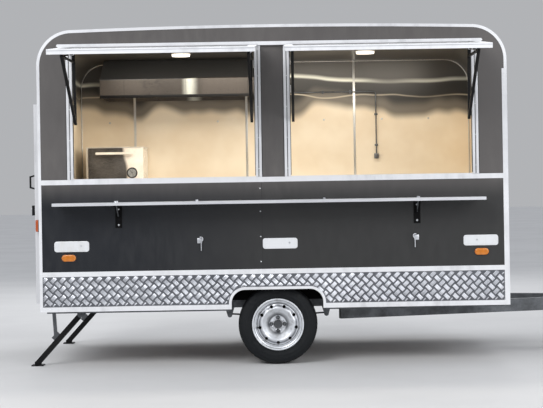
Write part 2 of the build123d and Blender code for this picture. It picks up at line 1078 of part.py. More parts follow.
# Jockey wheel: outer tube with crank, sliding tube, swivelling fork and wheel
with BuildPart() as jockey_tube:
    with BuildSketch(level(jockey_bottom)):
        with Locations((jockey_x, 0)):
            Circle(jockey_outer_radius)
            Circle(jockey_inner_radius + jockey_slide_gap, mode=Mode.SUBTRACT)
    extrude(amount=jockey_top - jockey_bottom)
    with BuildSketch(level(jockey_top)):
        with Locations((jockey_x, 0)):
            Circle(jockey_outer_radius)
    extrude(amount=jockey_cap)
    with BuildSketch(across(jockey_x)):
        with BuildLine():
            Polyline(
                (0, jockey_top + jockey_cap / 2),
                (0, jockey_top + crank_stem),
                (crank_arm, jockey_top + crank_stem),
                (crank_arm, jockey_top + crank_grip),
            )
        trace(line_width=crank_section)
    extrude(amount=crank_section / 2, both=True)
save(jockey_tube, "jockey_tube")

fork_top = 2 * jockey_wheel_radius + 25
with BuildPart() as jockey_slider:
    with BuildSketch(level(fork_top + fork_clearance)):
        with Locations((jockey_x, 0)):
            Circle(jockey_inner_radius)
            Circle(jockey_inner_radius - slider_wall, mode=Mode.SUBTRACT)
    extrude(amount=slider_top - fork_top - fork_clearance)
    with BuildSketch(level(fork_top + fork_clearance)):
        with Locations((jockey_x, 0)):
            Circle(jockey_inner_radius + slider_collar)
            Circle(fork_pin_radius + pin_clearance, mode=Mode.SUBTRACT)
    extrude(amount=-slider_collar)
save(jockey_slider, "jockey_slider")

fork_half = jockey_wheel_width / 2 + fork_gap
fork_rear = jockey_x - fork_rear_reach
fork_front = jockey_x + fork_front_reach
jockey_axle_x = jockey_x - jockey_trail
with BuildPart() as jockey_fork:
    with BuildSketch(level(fork_top - fork_plate)):
        patch(
            fork_rear,
            fork_front,
            -fork_half - fork_plate,
            fork_half + fork_plate,
        )
    extrude(amount=fork_plate)
    for side in (-1, 1):
        with BuildSketch(upright(side * fork_half)):
            with BuildLine():
                Polyline(
                    (fork_rear, fork_top),
                    (fork_front, fork_top),
                    (jockey_axle_x + fork_cheek, jockey_wheel_radius),
                    (jockey_axle_x - fork_cheek, jockey_wheel_radius),
                    close=True,
                )
            make_face()
            with Locations((jockey_axle_x, jockey_wheel_radius)):
                Circle(fork_cheek)
        extrude(amount=-side * fork_plate)
    with BuildSketch(upright(fork_half + 1)):
        with Locations((jockey_axle_x, jockey_wheel_radius)):
            Circle(jockey_axle_radius)
    extrude(amount=2 * fork_half + 2)
    with BuildSketch(level(fork_top)):
        with Locations((jockey_x, 0)):
            Circle(fork_pin_radius)
    extrude(amount=fork_pin_length)
save(jockey_fork, "jockey_fork")

with BuildPart() as jockey_wheel:
    with BuildSketch(upright(jockey_wheel_width / 2)):
        with Locations((jockey_axle_x, jockey_wheel_radius)):
            Circle(jockey_wheel_radius)
            Circle(jockey_axle_radius + pin_clearance, mode=Mode.SUBTRACT)
    extrude(amount=jockey_wheel_width)
    rims = jockey_wheel.edges().filter_by(GeomType.CIRCLE)
    fillet(rims.filter_by(lambda e: e.radius > 50), 12)
save(jockey_wheel, "jockey_wheel")

# Axle with its spindles
wheel_outer = half_width - tyre_outer_inset
wheel_middle = wheel_outer - tyre_width / 2
drum_inner = wheel_middle - 30
with BuildPart() as axle:
    with BuildSketch(upright(drum_inner - 12)):
        with Locations((axle_x, tyre_radius)):
            Circle(axle_radius)
    extrude(amount=2 * (drum_inner - 12))
    with BuildSketch(upright(wheel_middle + 30)):
        with Locations((axle_x, tyre_radius)):
            Circle(spindle_radius)
    extrude(amount=2 * (wheel_middle + 30))
save(axle, "axle")

# Leaf springs on the axle, with their clamps
spring_seat = tyre_radius + axle_radius
pack = 3 * spring_leaf
spring_mid = spring_seat + pack / 2 + 0.5
half_span = spring_span / 2
with BuildPart() as leaf_springs:
    for name, side in sides:
        with BuildSketch(upright(side * spring_y + spring_width / 2)):
            with BuildLine():
                ThreePointArc(
                    (axle_x - half_span, spring_eye_height),
                    (axle_x, spring_mid + spring_leaf),
                    (axle_x + half_span, spring_eye_height),
                )
            trace(line_width=spring_leaf)
            for step in (1, 2):
                share = 1 - 0.27 * step
                drop = spring_leaf * step
                with BuildLine():
                    ThreePointArc(
                        (
                            axle_x - half_span * share,
                            spring_mid
                            + spring_leaf
                            + (spring_eye_height - spring_mid - spring_leaf) * share**2
                            - drop,
                        ),
                        (axle_x, spring_mid + spring_leaf - drop),
                        (
                            axle_x + half_span * share,
                            spring_mid
                            + spring_leaf
                            + (spring_eye_height - spring_mid - spring_leaf) * share**2
                            - drop,
                        ),
                    )
                trace(line_width=spring_leaf + 0.4)
            for end in (-1, 1):
                with Locations((axle_x + end * half_span, spring_eye_height)):
                    Circle(17)
                    Circle(8, mode=Mode.SUBTRACT)
        extrude(amount=spring_width)
        with BuildSketch(upright(side * spring_y + spring_width / 2 + 12)):
            patch(axle_x - 45, axle_x + 45, spring_seat + pack, spring_seat + pack + 10)
        extrude(amount=spring_width + 24)
save(leaf_springs, "leaf_springs")

# Hangers that hold the spring eyes under the chassis rails
with BuildPart() as spring_hangers:
    for name, side in sides:
        for end in (-1, 1):
            hanger_x = axle_x + end * half_span
            for face in (-1, 1):
                plate_y = side * spring_y + face * (spring_width / 2 + 3) + 2.5
                with BuildSketch(upright(plate_y)):
                    with BuildLine():
                        Polyline(
                            (hanger_x - 34, frame_bottom),
                            (hanger_x + 34, frame_bottom),
                            (hanger_x + 18, spring_eye_height - 8),
                            (hanger_x - 18, spring_eye_height - 8),
                            close=True,
                        )
                    make_face()
                    with Locations((hanger_x, spring_eye_height - 8)):
                        Circle(18)
                extrude(amount=5)
            with BuildSketch(upright(side * spring_y + spring_width / 2 + 3)):
                with Locations((hanger_x, spring_eye_height)):
                    Circle(8)
            extrude(amount=spring_width + 6)
save(spring_hangers, "spring_hangers")

# Road wheels: drum, steel rim with nine holes, and tyre
for name, side in sides:
    hub_plane = Plane(
        (body_x + axle_x, body_y + side * wheel_middle, tyre_radius),
        x_dir=(1, 0, 0),
        z_dir=(0, side, 0),
    )
    profile_plane = Plane(hub_plane.origin, x_dir=(0, side, 0), z_dir=(1, 0, 0))
    spin_axis = Axis(hub_plane.origin, (0, side, 0))

    with BuildPart() as drum:
        with BuildSketch(hub_plane.offset(-30)):
            Circle(drum_radius)
        extrude(amount=42)
        with BuildSketch(hub_plane.offset(12)):
            Circle(52)
        extrude(amount=12)
        with BuildSketch(hub_plane.offset(24)):
            Circle(30)
        extrude(amount=26)
        with BuildSketch(hub_plane.offset(-30)):
            Circle(spindle_radius + pin_clearance)
        extrude(amount=61, mode=Mode.SUBTRACT)
    save(drum, f"wheel_{name}_drum")

    # The rim's section: distance along the axle, radius
    with BuildPart() as rim:
        with BuildSketch(profile_plane):
            with BuildLine():
                Polyline(
                    (-rim_width / 2, rim_radius + rim_lip),
                    (-rim_width / 2, rim_radius - 4),
                    (-30, rim_radius - 22),
                    (36, rim_radius - 22),
                    (44, rim_radius - 34),
                    (52, 132),
                    (40, 100),
                    (44, 72),
                    (28, 60),
                    (24, 31),
                    (28, 31),
                    (32, 58),
                    (49, 70),
                    (46, 100),
                    (58, 130),
                    (60, 150),
                    (54, rim_radius - 10),
                    (rim_width / 2, rim_radius - 4),
                    (rim_width / 2, rim_radius + rim_lip),
                    (rim_width / 2 - 6, rim_radius + rim_lip),
                    (rim_width / 2 - 7, rim_radius),
                    (48, rim_radius),
                    (38, rim_radius - 16),
                    (-30, rim_radius - 16),
                    (-rim_width / 2 + 20, rim_radius),
                    (-rim_width / 2 + 7, rim_radius),
                    (-rim_width / 2 + 6, rim_radius + rim_lip),
                    close=True,
                )
            make_face()
        revolve(axis=spin_axis)
        with BuildSketch(hub_plane.offset(30)):
            with PolarLocations(rim_hole_ring, rim_holes, start_angle=side * 90):
                Circle(rim_hole_radius)
        extrude(amount=35, mode=Mode.SUBTRACT)
    save(rim, f"wheel_{name}_rim")

    bead = rim_width / 2 - 7
    with BuildPart() as tyre:
        with BuildSketch(profile_plane):
            with BuildLine():
                Polyline(
                    (-bead, rim_radius),
                    (-bead, rim_radius + rim_lip),
                    (-tyre_width / 2, rim_radius + 52),
                    (-tyre_width / 2 + 6, tyre_radius - 26),
                    (-tyre_width / 2 + 26, tyre_radius - 3),
                    (0, tyre_radius),
                    (tyre_width / 2 - 26, tyre_radius - 3),
                    (tyre_width / 2 - 6, tyre_radius - 26),
                    (tyre_width / 2, rim_radius + 52),
                    (bead, rim_radius + rim_lip),
                    (bead, rim_radius),
                    (bead - 16, rim_radius),
                    (bead - 10, rim_radius + 40),
                    (tyre_width / 2 - 22, tyre_radius - 34),
                    (-tyre_width / 2 + 22, tyre_radius - 34),
                    (-bead + 10, rim_radius + 40),
                    (-bead + 16, rim_radius),
                    close=True,
                )
            make_face()
        revolve(axis=spin_axis)
    save(tyre, f"wheel_{name}_tyre")

# Rear steadies: a leg and pad that swing from a bracket against a stop strut
leg_dx = steady_foot_x - steady_pivot_x
leg_length = hypot(leg_dx, steady_pivot_z)
leg_ux = leg_dx / leg_length
leg_uz = -steady_pivot_z / leg_length
for name, side in sides:
    with BuildPart() as steady:
        with BuildSketch(upright(side * steady_y + steady_section / 2)):
            foot = (
                steady_pivot_x + leg_ux * (leg_length - 26),
                steady_pivot_z + leg_uz * (leg_length - 26),
            )
            bar((steady_pivot_x, steady_pivot_z), foot, steady_section, steady_section)
            with Locations((steady_pivot_x, steady_pivot_z)):
                Circle(steady_section / 2)
                Circle(steady_pin_radius + pin_clearance, mode=Mode.SUBTRACT)
            patch(
                steady_foot_x - steady_pad_rear,
                steady_foot_x + steady_pad_front,
                0,
                steady_pad_thickness,
            )
            patch(
                steady_foot_x - 4,
                steady_foot_x + 44,
                steady_pad_thickness - 1,
                30,
            )
        extrude(amount=steady_section)
        with BuildSketch(level(0)):
            patch(
                steady_foot_x - steady_pad_rear,
                steady_foot_x + steady_pad_front,
                side * steady_y - steady_pad_width / 2,
                side * steady_y + steady_pad_width / 2,
            )
        extrude(amount=steady_pad_thickness)
    save(steady, f"steady_{name}")

with BuildPart() as steady_mounts:
    for name, side in sides:
        for face in (-1, 1):
            plate_y = side * steady_y + face * (steady_section / 2 + 3) + 2.5
            with BuildSketch(upright(plate_y)):
                patch(
                    steady_pivot_x - steady_plate_half,
                    steady_pivot_x + steady_plate_half,
                    steady_pivot_z,
                    frame_bottom,
                )
                with Locations((steady_pivot_x, steady_pivot_z)):
                    Circle(steady_plate_half)
            extrude(amount=5)
        with BuildSketch(upright(side * steady_y + steady_section / 2 + 3)):
            with Locations((steady_pivot_x, steady_pivot_z)):
                Circle(steady_pin_radius)
        extrude(amount=steady_section + 6)
        with BuildSketch(upright(side * steady_y + 15)):
            reach = 0.48 * leg_length
            back = steady_section / 2 + 0.3 + 14
            stop = (
                steady_pivot_x + leg_ux * reach + leg_uz * back,
                steady_pivot_z + leg_uz * reach - leg_ux * back,
            )
            bar((-half_length + wall + 20, frame_bottom), stop, 24, 24)
            bar(
                (stop[0] - leg_ux * 30, stop[1] - leg_uz * 30),
                (stop[0] + leg_ux * 30, stop[1] + leg_uz * 30),
                28,
                28,
            )
            patch(
                -half_length,
                steady_pivot_x,
                frame_bottom,
                floor_bottom,
                mode=Mode.SUBTRACT,
            )
        extrude(amount=30)
save(steady_mounts, "steady_mounts")

# Rear door: a leaf over the doorway with an edge frame, straps, handle and lock
door_axis_y = door_hinge_edge + door_axis_gap
door_axis_x = -half_length - door_axis_out
leaf_inner = -half_length - door_seal
with BuildPart() as rear_door:
    with BuildSketch(across(leaf_inner)):
        patch(door_latch_edge, door_hinge_edge, door_bottom, door_top)
    extrude(amount=-door_thickness)
    with BuildSketch(across(leaf_inner - door_thickness)):
        patch(
            door_latch_edge + door_edge_frame,
            door_hinge_edge - door_edge_frame,
            door_bottom + door_edge_frame,
            door_top - door_edge_frame,
        )
    extrude(amount=door_recess, mode=Mode.SUBTRACT)
    for height in door_hinge_heights:
        with BuildSketch(level(height)):
            patch(
                door_axis_x - door_knuckle + 1,
                leaf_inner - door_thickness,
                door_hinge_edge - door_strap,
                door_axis_y,
            )
            with Locations((door_axis_x, door_axis_y)):
                Circle(door_knuckle)
                Circle(door_pin + pin_clearance, mode=Mode.SUBTRACT)
        extrude(amount=door_knuckle_length)
save(rear_door, "rear_door")

with BuildPart() as door_handle:
    grip_y = door_latch_edge + 22
    leaf_outer = leaf_inner - door_thickness
    with BuildSketch(upright(grip_y - handle_wide / 2)):
        with BuildLine():
            Polyline(
                (leaf_outer, handle_bottom),
                (leaf_outer - handle_out, handle_bottom + handle_slant),
                (leaf_outer - handle_out, handle_top - handle_slant),
                (leaf_outer, handle_top),
            )
        trace(line_width=handle_section)
        patch(
            leaf_outer,
            leaf_outer + handle_section,
            handle_bottom - handle_section,
            handle_top + handle_section,
            mode=Mode.SUBTRACT,
        )
    extrude(amount=-handle_wide)
    with BuildSketch(upright(grip_y - lock_wide / 2)):
        patch(leaf_outer - lock_out, leaf_outer, lock_bottom, lock_top)
    extrude(amount=-lock_wide)
save(door_handle, "door_handle")

with BuildPart() as door_hinges:
    for height in door_hinge_heights:
        low_foot = height - door_hinge_gap - door_hinge_foot
        high_foot = height + door_knuckle_length + door_hinge_gap
        for foot in (low_foot, high_foot):
            with BuildSketch(level(foot)):
                patch(
                    door_axis_x,
                    -half_length,
                    door_axis_y,
                    door_axis_y + door_hinge_plate,
                )
                with Locations((door_axis_x, door_axis_y)):
                    Circle(door_knuckle)
            extrude(amount=door_hinge_foot)
        with BuildSketch(across(-half_length)):
            patch(
                door_axis_y,
                door_axis_y + door_hinge_flange,
                low_foot,
                high_foot + door_hinge_foot,
            )
        extrude(amount=-door_hinge_leaf)
        with BuildSketch(level(low_foot + door_hinge_foot / 2)):
            with Locations((door_axis_x, door_axis_y)):
                Circle(door_pin)
        extrude(amount=high_foot - low_foot)
save(door_hinges, "door_hinges")

# White covers and amber side markers
with BuildPart() as side_covers:
    with BuildSketch(upright(-half_width)):
        for place in cover_places:
            with Locations((place + cover_width / 2, cover_bottom + cover_height / 2)):
                RectangleRounded(cover_width, cover_height, corner_radius)
    extrude(amount=frame_proud)
save(side_covers, "side_covers")

with BuildPart() as marker_lamps:
    for name, side in sides:
        with BuildSketch(upright(side * half_width)):
            for place in marker_places:
                with Locations((place, marker_bottom + marker_height / 2)):
                    RectangleRounded(marker_width, marker_height, corner_radius)
        extrude(amount=-side * lamp_proud)
save(marker_lamps, "marker_lamps")

tail_lamp_y = inner_half_width - tail_lamp_inset
with BuildPart() as tail_lamps:
    for name, side in sides:
        with BuildSketch(across(-half_length)):
            with Locations((side * tail_lamp_y, tail_lamp_middle)):
                RectangleRounded(tail_lamp_width, tail_lamp_height, frame_proud)
        extrude(amount=-tail_lamp_proud)
save(tail_lamps, "tail_lamps")

# Latches that hold the folded shelf: a plate, a hook and a hanging rod
with BuildPart() as latches:
    for place in latch_positions:
        with BuildSketch(upright(-half_width)):
            with Locations((place, latch_top - latch_plate * 3 / 4)):
                Rectangle(latch_plate, latch_plate)
        extrude(amount=latch_proud / 2)
        with BuildSketch(upright(-half_width)):
            with Locations((place + frame_proud, latch_top - latch_plate * 5 / 4)):
                RectangleRounded(latch_rod_width, latch_rod_length, latch_rod_width / 3)
        extrude(amount=latch_proud)
save(latches, "latches")

# Counters: a worktop on legs with a lower shelf, along each side
counter_end = inner_half_length - counter_gap
counter_last_leg = counter_end - counter_leg
front_counter_legs = (front_counter_rear_end, counter_leg_front, counter_last_leg)
back_counter_legs = (-counter_end, counter_leg_rear, counter_leg_front, counter_last_leg)
# columns: name, X of the legs, near Y, far Y, height
counters = (
    (
        "front_counter",
        front_counter_legs,
        -inner_half_width,
        front_counter_depth - inner_half_width,
        front_counter_height,
    ),
    (
        "back_counter",
        back_counter_legs,
        inner_half_width - back_counter_depth,
        inner_half_width,
        back_counter_height,
    ),
)
for name, legs, near, far, height in counters:
    with BuildPart() as counter:
        with BuildSketch(level(height - worktop_thickness)):
            patch(legs[0], counter_end, near, far)
        extrude(amount=worktop_thickness)
        with BuildSketch(level(counter_shelf_height)):
            patch(legs[0], counter_end, near, far)
        extrude(amount=counter_shelf_thickness)
        with BuildSketch(level(floor_top)):
            for place in legs:
                for edge in (near, far - counter_leg):
                    patch(place, place + counter_leg, edge, edge + counter_leg)
        extrude(amount=height - worktop_thickness - floor_top)
    save(counter, name)

# Extraction hood over the rear half of the back counter
hood_back = inner_half_width
hood_outline = [
    (hood_back, hood_bottom),
    (hood_back - hood_depth, hood_bottom),
    (hood_back - hood_depth, hood_bottom + hood_face),
    (hood_back - hood_depth + hood_slope_depth, ceiling_height),
    (hood_back, ceiling_height),
]
with BuildPart() as hood:
    with BuildSketch(across(hood_rear)):
        with BuildLine():
            Polyline(*hood_outline, close=True)
        make_face()
    extrude(amount=hood_front - hood_rear)
    with BuildSketch(across(hood_rear + hood_sheet)):
        with BuildLine():
            Polyline(
                (hood_back - hood_sheet, hood_bottom - 1),
                (hood_back - hood_depth + hood_sheet, hood_bottom - 1),
                (hood_back - hood_depth + hood_sheet, hood_bottom + hood_face),
                (
                    hood_back - hood_depth + hood_slope_depth + hood_sheet,
                    ceiling_height - hood_sheet,
                ),
                (hood_back - hood_sheet, ceiling_height - hood_sheet),
                close=True,
            )
        make_face()
    extrude(amount=hood_front - hood_rear - 2 * hood_sheet, mode=Mode.SUBTRACT)
save(hood, "hood")

# Oven with its door, bar handle and dial
oven_front = inner_half_width - oven_depth - counter_gap
oven_top = back_counter_height + oven_height
handle_height = oven_top - oven_handle_drop
oven_handle_x = oven_rear + oven_width / 2
with BuildPart() as oven:
    with BuildSketch(level(back_counter_height)):
        patch(
            oven_rear,
            oven_rear + oven_width,
            oven_front,
            oven_front + oven_depth,
        )
    extrude(amount=oven_height)
    with BuildSketch(upright(oven_front)):
        patch(
            oven_rear + oven_margin,
            oven_rear + oven_width - oven_margin,
            back_counter_height + oven_margin,
            oven_top - oven_margin,
        )
    extrude(amount=oven_door)
    with BuildSketch(upright(oven_front - oven_door)):
        with Locations((oven_rear + oven_dial_x, back_counter_height + oven_dial_height)):
            Circle(oven_dial_radius)
    extrude(amount=oven_door)
    with BuildSketch(upright(oven_front - oven_handle_out)):
        with Locations((oven_handle_x, handle_height)):
            RectangleRounded(oven_handle_length, 20, 9)
    extrude(amount=-18)
    with BuildSketch(upright(oven_front - oven_handle_out + 14)):
        for side in (-1, 1):
            with Locations((oven_handle_x + side * oven_handle_length * 0.42, handle_height)):
                Circle(7)
    extrude(amount=-oven_handle_out / 2)
save(oven, "oven")

# Round ceiling lamps
with BuildPart() as ceiling_lamps:
    with BuildSketch(level(ceiling_height)):
        for end in (-1, 1):
            with Locations((end * ceiling_lamp_x, 0)):
                Circle(ceiling_lamp_radius)
    extrude(amount=-ceiling_lamp_drop, taper=18)
save(ceiling_lamps, "ceiling_lamps")
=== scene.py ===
import json
import math

import bmesh
import bpy
from mathutils import Matrix, Vector


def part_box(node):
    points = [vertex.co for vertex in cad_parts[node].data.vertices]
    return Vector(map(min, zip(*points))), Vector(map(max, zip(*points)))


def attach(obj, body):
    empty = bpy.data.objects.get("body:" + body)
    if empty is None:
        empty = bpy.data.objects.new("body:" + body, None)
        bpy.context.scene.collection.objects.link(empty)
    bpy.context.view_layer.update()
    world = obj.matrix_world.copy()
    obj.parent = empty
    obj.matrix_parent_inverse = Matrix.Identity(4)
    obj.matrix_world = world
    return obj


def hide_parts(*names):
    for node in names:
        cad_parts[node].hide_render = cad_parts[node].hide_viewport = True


# A towed food trailer with its serving flaps open. Metres. Pieces are placed in body
# coordinates: X forward from the middle of the body, Y from its centre plane with the
# serving side at -Y, Z up from the ground.

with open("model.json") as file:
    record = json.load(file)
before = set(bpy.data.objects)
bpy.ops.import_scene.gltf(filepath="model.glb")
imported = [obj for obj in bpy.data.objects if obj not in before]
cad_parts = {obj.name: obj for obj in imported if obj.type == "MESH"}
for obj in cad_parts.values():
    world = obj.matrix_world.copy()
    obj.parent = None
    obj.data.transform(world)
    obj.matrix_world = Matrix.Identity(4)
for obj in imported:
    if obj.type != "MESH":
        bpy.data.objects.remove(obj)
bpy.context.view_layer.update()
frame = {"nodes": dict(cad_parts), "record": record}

serving_low, serving_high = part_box("serving_wall")
back_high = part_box("back_wall")[1]
mid_x = (serving_low.x + serving_high.x) / 2
mid_y = (serving_low.y + back_high.y) / 2
half_length = (serving_high.x - serving_low.x) / 2
half_width = (back_high.y - serving_low.y) / 2
wall = serving_high.y - serving_low.y
inner_half_length = half_length - wall
inner_half_width = half_width - wall
sides = (("right", -1), ("left", 1))
windows = (("rear", -0.8095), ("front", 0.8095))


def at(x, y, z):
    """A point of the frame from body coordinates."""
    return Vector((mid_x + x, mid_y + y, z))


def local_box(node):
    """A CAD node's lowest and highest corners in body coordinates."""
    low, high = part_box(node)
    shift = Vector((mid_x, mid_y, 0))
    return low - shift, high - shift


tyre_low, tyre_high = local_box("wheel_right_tyre")
wheel_x = (tyre_low.x + tyre_high.x) / 2
wheel_z = (tyre_low.z + tyre_high.z) / 2
wheel_y = -(tyre_low.y + tyre_high.y) / 2

# Materials. Tones are written as 0 to 255.

materials = {}


def linear(red, green, blue):
    """A tone as a colour for a shader."""
    parts = []
    for part in (red, green, blue):
        part /= 255
        parts.append(part / 12.92 if part <= 0.04045 else ((part + 0.055) / 1.055) ** 2.4)
    return (*parts, 1)


class Finish:
    """A procedural material, built up in layers on one Principled shader."""

    def __init__(self, name, metallic=0.0, coat=0.0, specular=0.5):
        material = bpy.data.materials.new(name)
        materials[name] = material
        material.use_nodes = True
        self.tree = material.node_tree
        self.shader = self.tree.nodes["Principled BSDF"]
        self.shader.inputs["Metallic"].default_value = metallic
        self.shader.inputs["Coat Weight"].default_value = coat
        self.shader.inputs["Specular IOR Level"].default_value = specular
        self.place = self.tree.nodes.new("ShaderNodeTexCoord").outputs["Object"]
        self.last_bump = None

    def node(self, kind, inputs, **settings):
        """Adds a node. Each input is a value or the output of another node."""
        made = self.tree.nodes.new(kind)
        for key, value in settings.items():
            setattr(made, key, value)
        for key, value in inputs.items():
            if isinstance(value, bpy.types.NodeSocket):
                self.tree.links.new(value, made.inputs[key])
            else:
                made.inputs[key].default_value = value
        return made

    def mapped(self, location, scale):
        inputs = {"Vector": self.place, "Location": location, "Scale": scale}
        return self.node("ShaderNodeMapping", inputs).outputs[0]

    def noise(self, scale, detail=3.0, stretch=(1, 1, 1), warp=0.0, shift=0.0):
        place = self.mapped((shift, shift, shift), stretch)
        inputs = {"Vector": place, "Scale": scale, "Detail": detail, "Distortion": warp}
        return self.node("ShaderNodeTexNoise", {**inputs, "Roughness": 0.55}).outputs["Fac"]

    def height(self, axis):
        """The object coordinate along an axis, in metres."""
        return self.node("ShaderNodeSeparateXYZ", {0: self.place}).outputs[axis]

    def radius(self, centre_x, centre_z):
        """The distance from a line along Y, in metres."""
        flat = self.mapped((-centre_x, 0, -centre_z), (1, 0, 1))
        return self.node("ShaderNodeVectorMath", {0: flat}, operation="LENGTH").outputs["Value"]

    def spread(self, value, low, high, new_low=0.0, new_high=1.0):
        """Eases a value from one range into another."""
        inputs = dict(enumerate((value, low, high, new_low, new_high)))
        return self.node("ShaderNodeMapRange", inputs, interpolation_type="SMOOTHSTEP").outputs[0]

    def multiply(self, first, second):
        return self.node("ShaderNodeMath", {0: first, 1: second}, operation="MULTIPLY").outputs[0]

    def lifted(self, reach, scale, shift=0.0, axis="Z"):
        """A coordinate that a slow wave along the sheet raises and lowers."""
        across = (1, 1, 0.15) if axis == "Z" else (0.15, 1, 1)
        wave = self.spread(self.noise(scale, 1.5, across, shift=shift), 0.3, 0.7, -reach, reach)
        inputs = {0: self.height(axis), 1: wave}
        return self.node("ShaderNodeMath", inputs, operation="ADD").outputs[0]

    def mix(self, share, first, second):
        """Mixes two colours, each a tone or the output of a node."""
        first, second = (
            linear(*colour) if isinstance(colour, tuple) else colour
            for colour in (first, second)
        )
        inputs = {"Factor": share, 6: first, 7: second}
        return self.node("ShaderNodeMix", inputs, data_type="RGBA").outputs[2]

    def blend(self, value, low, high, first, second):
        """Goes from one colour to another while a value rises from low to high."""
        return self.mix(self.spread(value, low, high), first, second)

    def glint(self, value, centre, below, above, tone, line, strength):
        """Lays a soft line of another colour over a tone."""
        rising = self.spread(value, centre - below, centre)
        falling = self.spread(value, centre, centre + above, 1.0, 0.0)
        return self.mix(self.multiply(self.multiply(rising, falling), strength), tone, line)

    def colour(self, value):
        self.tree.links.new(value, self.shader.inputs["Base Color"])

    def roughness(self, value, low, high, start=0.3, end=0.7):
        spread = self.spread(value, start, end, low, high)
        self.tree.links.new(spread, self.shader.inputs["Roughness"])

    def bump(self, value, strength, distance):
        inputs = {"Height": value, "Strength": strength, "Distance": distance}
        if self.last_bump:
            inputs["Normal"] = self.last_bump
        self.last_bump = self.node("ShaderNodeBump", inputs).outputs["Normal"]
        self.tree.links.new(self.last_bump, self.shader.inputs["Normal"])


def painted(name, tone, worn, low=0.34, high=0.5, coat=0.15, grain=260, specular=0.5):
    """Sprayed paint: cloudy tone, a little dust and orange peel."""
    made = Finish(name, coat=coat, specular=specular)
    cloud = made.noise(2.2, 5)
    dust = made.noise(14, 6, (1, 1, 0.35))
    share = made.multiply(made.spread(cloud, 0.35, 0.7), made.spread(dust, 0.35, 0.75))
    made.colour(made.mix(share, tone, worn))
    made.roughness(dust, low, high)
    made.bump(made.noise(grain, 1), 0.12, 0.0006)
    made.bump(cloud, 0.06, 0.02)


def painted_body(name, fade_from, fade_to, pale_end=None):
    """Charcoal paint, darker below than above as painted shade, that changes between two heights.
    """
    paint = Finish(name, specular=0.3)
    cloud = paint.noise(1.3, 5)
    dust = paint.noise(18, 6, (1, 1, 0.3))
    share = paint.multiply(paint.spread(cloud, 0.3, 0.75), paint.spread(dust, 0.3, 0.8))
    low_tone = paint.mix(share, (48, 48, 48), (58, 58, 58))
    # On the serving wall the low tone darkens further towards the rear end, as painted shade.
    if pale_end is not None:
        dark = paint.mix(share, (24, 27, 33), (38, 40, 44))
        low_tone = paint.blend(paint.height("X"), pale_end - 1.7, pale_end, dark, low_tone)
    high_tone = paint.mix(share, (90, 87, 86), (102, 99, 97))
    # The darker tone low down and the lighter one high up are painted shade and light.
    paint.colour(paint.blend(paint.height("Z"), fade_from, fade_to, low_tone, high_tone))
    paint.roughness(dust, 0.36, 0.52)
    paint.bump(paint.noise(240, 1), 0.12, 0.0006)
    paint.bump(paint.noise(2.6, 2), 0.08, 0.02)


def metal(name, tone, dull, low, high, streak=(1, 1, 1), scale=40, wavy=0.0):
    """Bare metal with a lay of fine streaks, and waves in a thin sheet."""
    made = Finish(name, metallic=1.0)
    lay = made.noise(scale, 4, streak)
    made.colour(made.blend(made.noise(1.7, 4), 0.3, 0.7, tone, dull))
    made.roughness(lay, low, high)
    made.bump(lay, 0.08, 0.0008)
    if wavy:
        made.bump(made.noise(3.2, 1, warp=0.6), wavy, 0.06)


def weathered(name, noise, span, tone, worn, rough, bump=None, **settings):
    """A finish whose colour, roughness and relief follow one noise."""
    made = Finish(name, **settings)
    grain = made.noise(*noise)
    made.colour(made.blend(grain, *span, tone, worn))
    made.roughness(grain, *rough)
    if bump:
        made.bump(grain, *bump)
    return made


def lining_sheet():
    """Polished cabin lining, coloured with painted reflections: light at the counters, dim with
    bright wavy lines under the ceiling.
    """
    made = Finish("lining_steel", metallic=0.2)
    tone = made.blend(made.noise(2.4), 0.3, 0.7, (248, 234, 210), (238, 220, 192))
    # The darker bands under the ceiling are painted reflections.
    edge = made.lifted(0.075, 2.1)
    tone = made.blend(edge, 1.955, 2.045, tone, (122, 115, 104))
    tone = made.blend(edge, 2.06, 2.16, tone, (52, 50, 47))
    upper = made.lifted(0.035, 1.1, 3.0)
    tone = made.blend(upper, 2.20, 2.34, tone, (74, 71, 67))
    # Two bright wavy lines under the ceiling are painted reflections.
    reflection_strength = made.spread(made.noise(0.9, 1, (1, 1, 0.1), shift=5.0), 0.36, 0.56, 0.15, 1.0)
    tone = made.glint(upper, 2.262, 0.020, 0.034, tone, (236, 236, 222), reflection_strength)
    lower = made.lifted(0.022, 1.7, 7.0)
    thin = made.spread(made.noise(1.3, 1, (1, 1, 0.1), shift=9.0), 0.3, 0.6, 0.3, 0.9)
    made.colour(made.glint(lower, 2.118, 0.010, 0.012, tone, (206, 194, 172), thin))
    made.roughness(made.noise(60, 4, (14, 14, 1)), 0.28, 0.31)
    made.bump(made.noise(1.1, 1, (0.7, 1, 1.6), 0.3), 0.12, 0.05)


def hood_sheet():
    """Polished hood: a lighter face with painted upright reflections and a painted highlight,
    under a dark slope; face and slope tones are painted light and shade.
    """
    made = Finish("hood_steel", metallic=0.4)
    rise = made.lifted(0.01, 2.0)
    along = made.height("X")
    # Lighter and darker upright bands on the face are painted reflections.
    reflection_columns = made.noise(3.1, 1.5, (1, 0.2, 0.02), shift=2.4)
    face = made.blend(reflection_columns, 0.35, 0.6, (62, 57, 53), (80, 74, 69))
    # A soft upright line of painted highlight on the face.
    highlight_strength = made.spread(made.noise(9, 2, (1, 1, 1.4)), 0.2, 0.5, 0.7, 1.0)
    face = made.glint(along, mid_x - 0.713, 0.075, 0.085, face, (196, 198, 190), highlight_strength)
    # An irregular dark patch on the face, about 1.03 m behind the middle.
    dark_patch_noise = made.spread(made.noise(24, 4, (1, 1, 1.6)), 0.52, 0.62, 0.0, 0.7)
    near = made.glint(along, mid_x - 1.03, 0.16, 0.16, (0, 0, 0), (255, 255, 255), dark_patch_noise)
    face = made.mix(near, face, (40, 37, 35))
    # The slope and the face get separate tones as painted light and shade.
    slope = made.blend(rise, 2.26, 2.42, (78, 78, 78), (104, 104, 103))
    made.colour(made.blend(rise, 2.249, 2.257, face, slope))
    lay = made.noise(60, 4, (1, 14, 14))
    made.roughness(lay, 0.26, 0.4)
    made.bump(lay, 0.05, 0.0008)


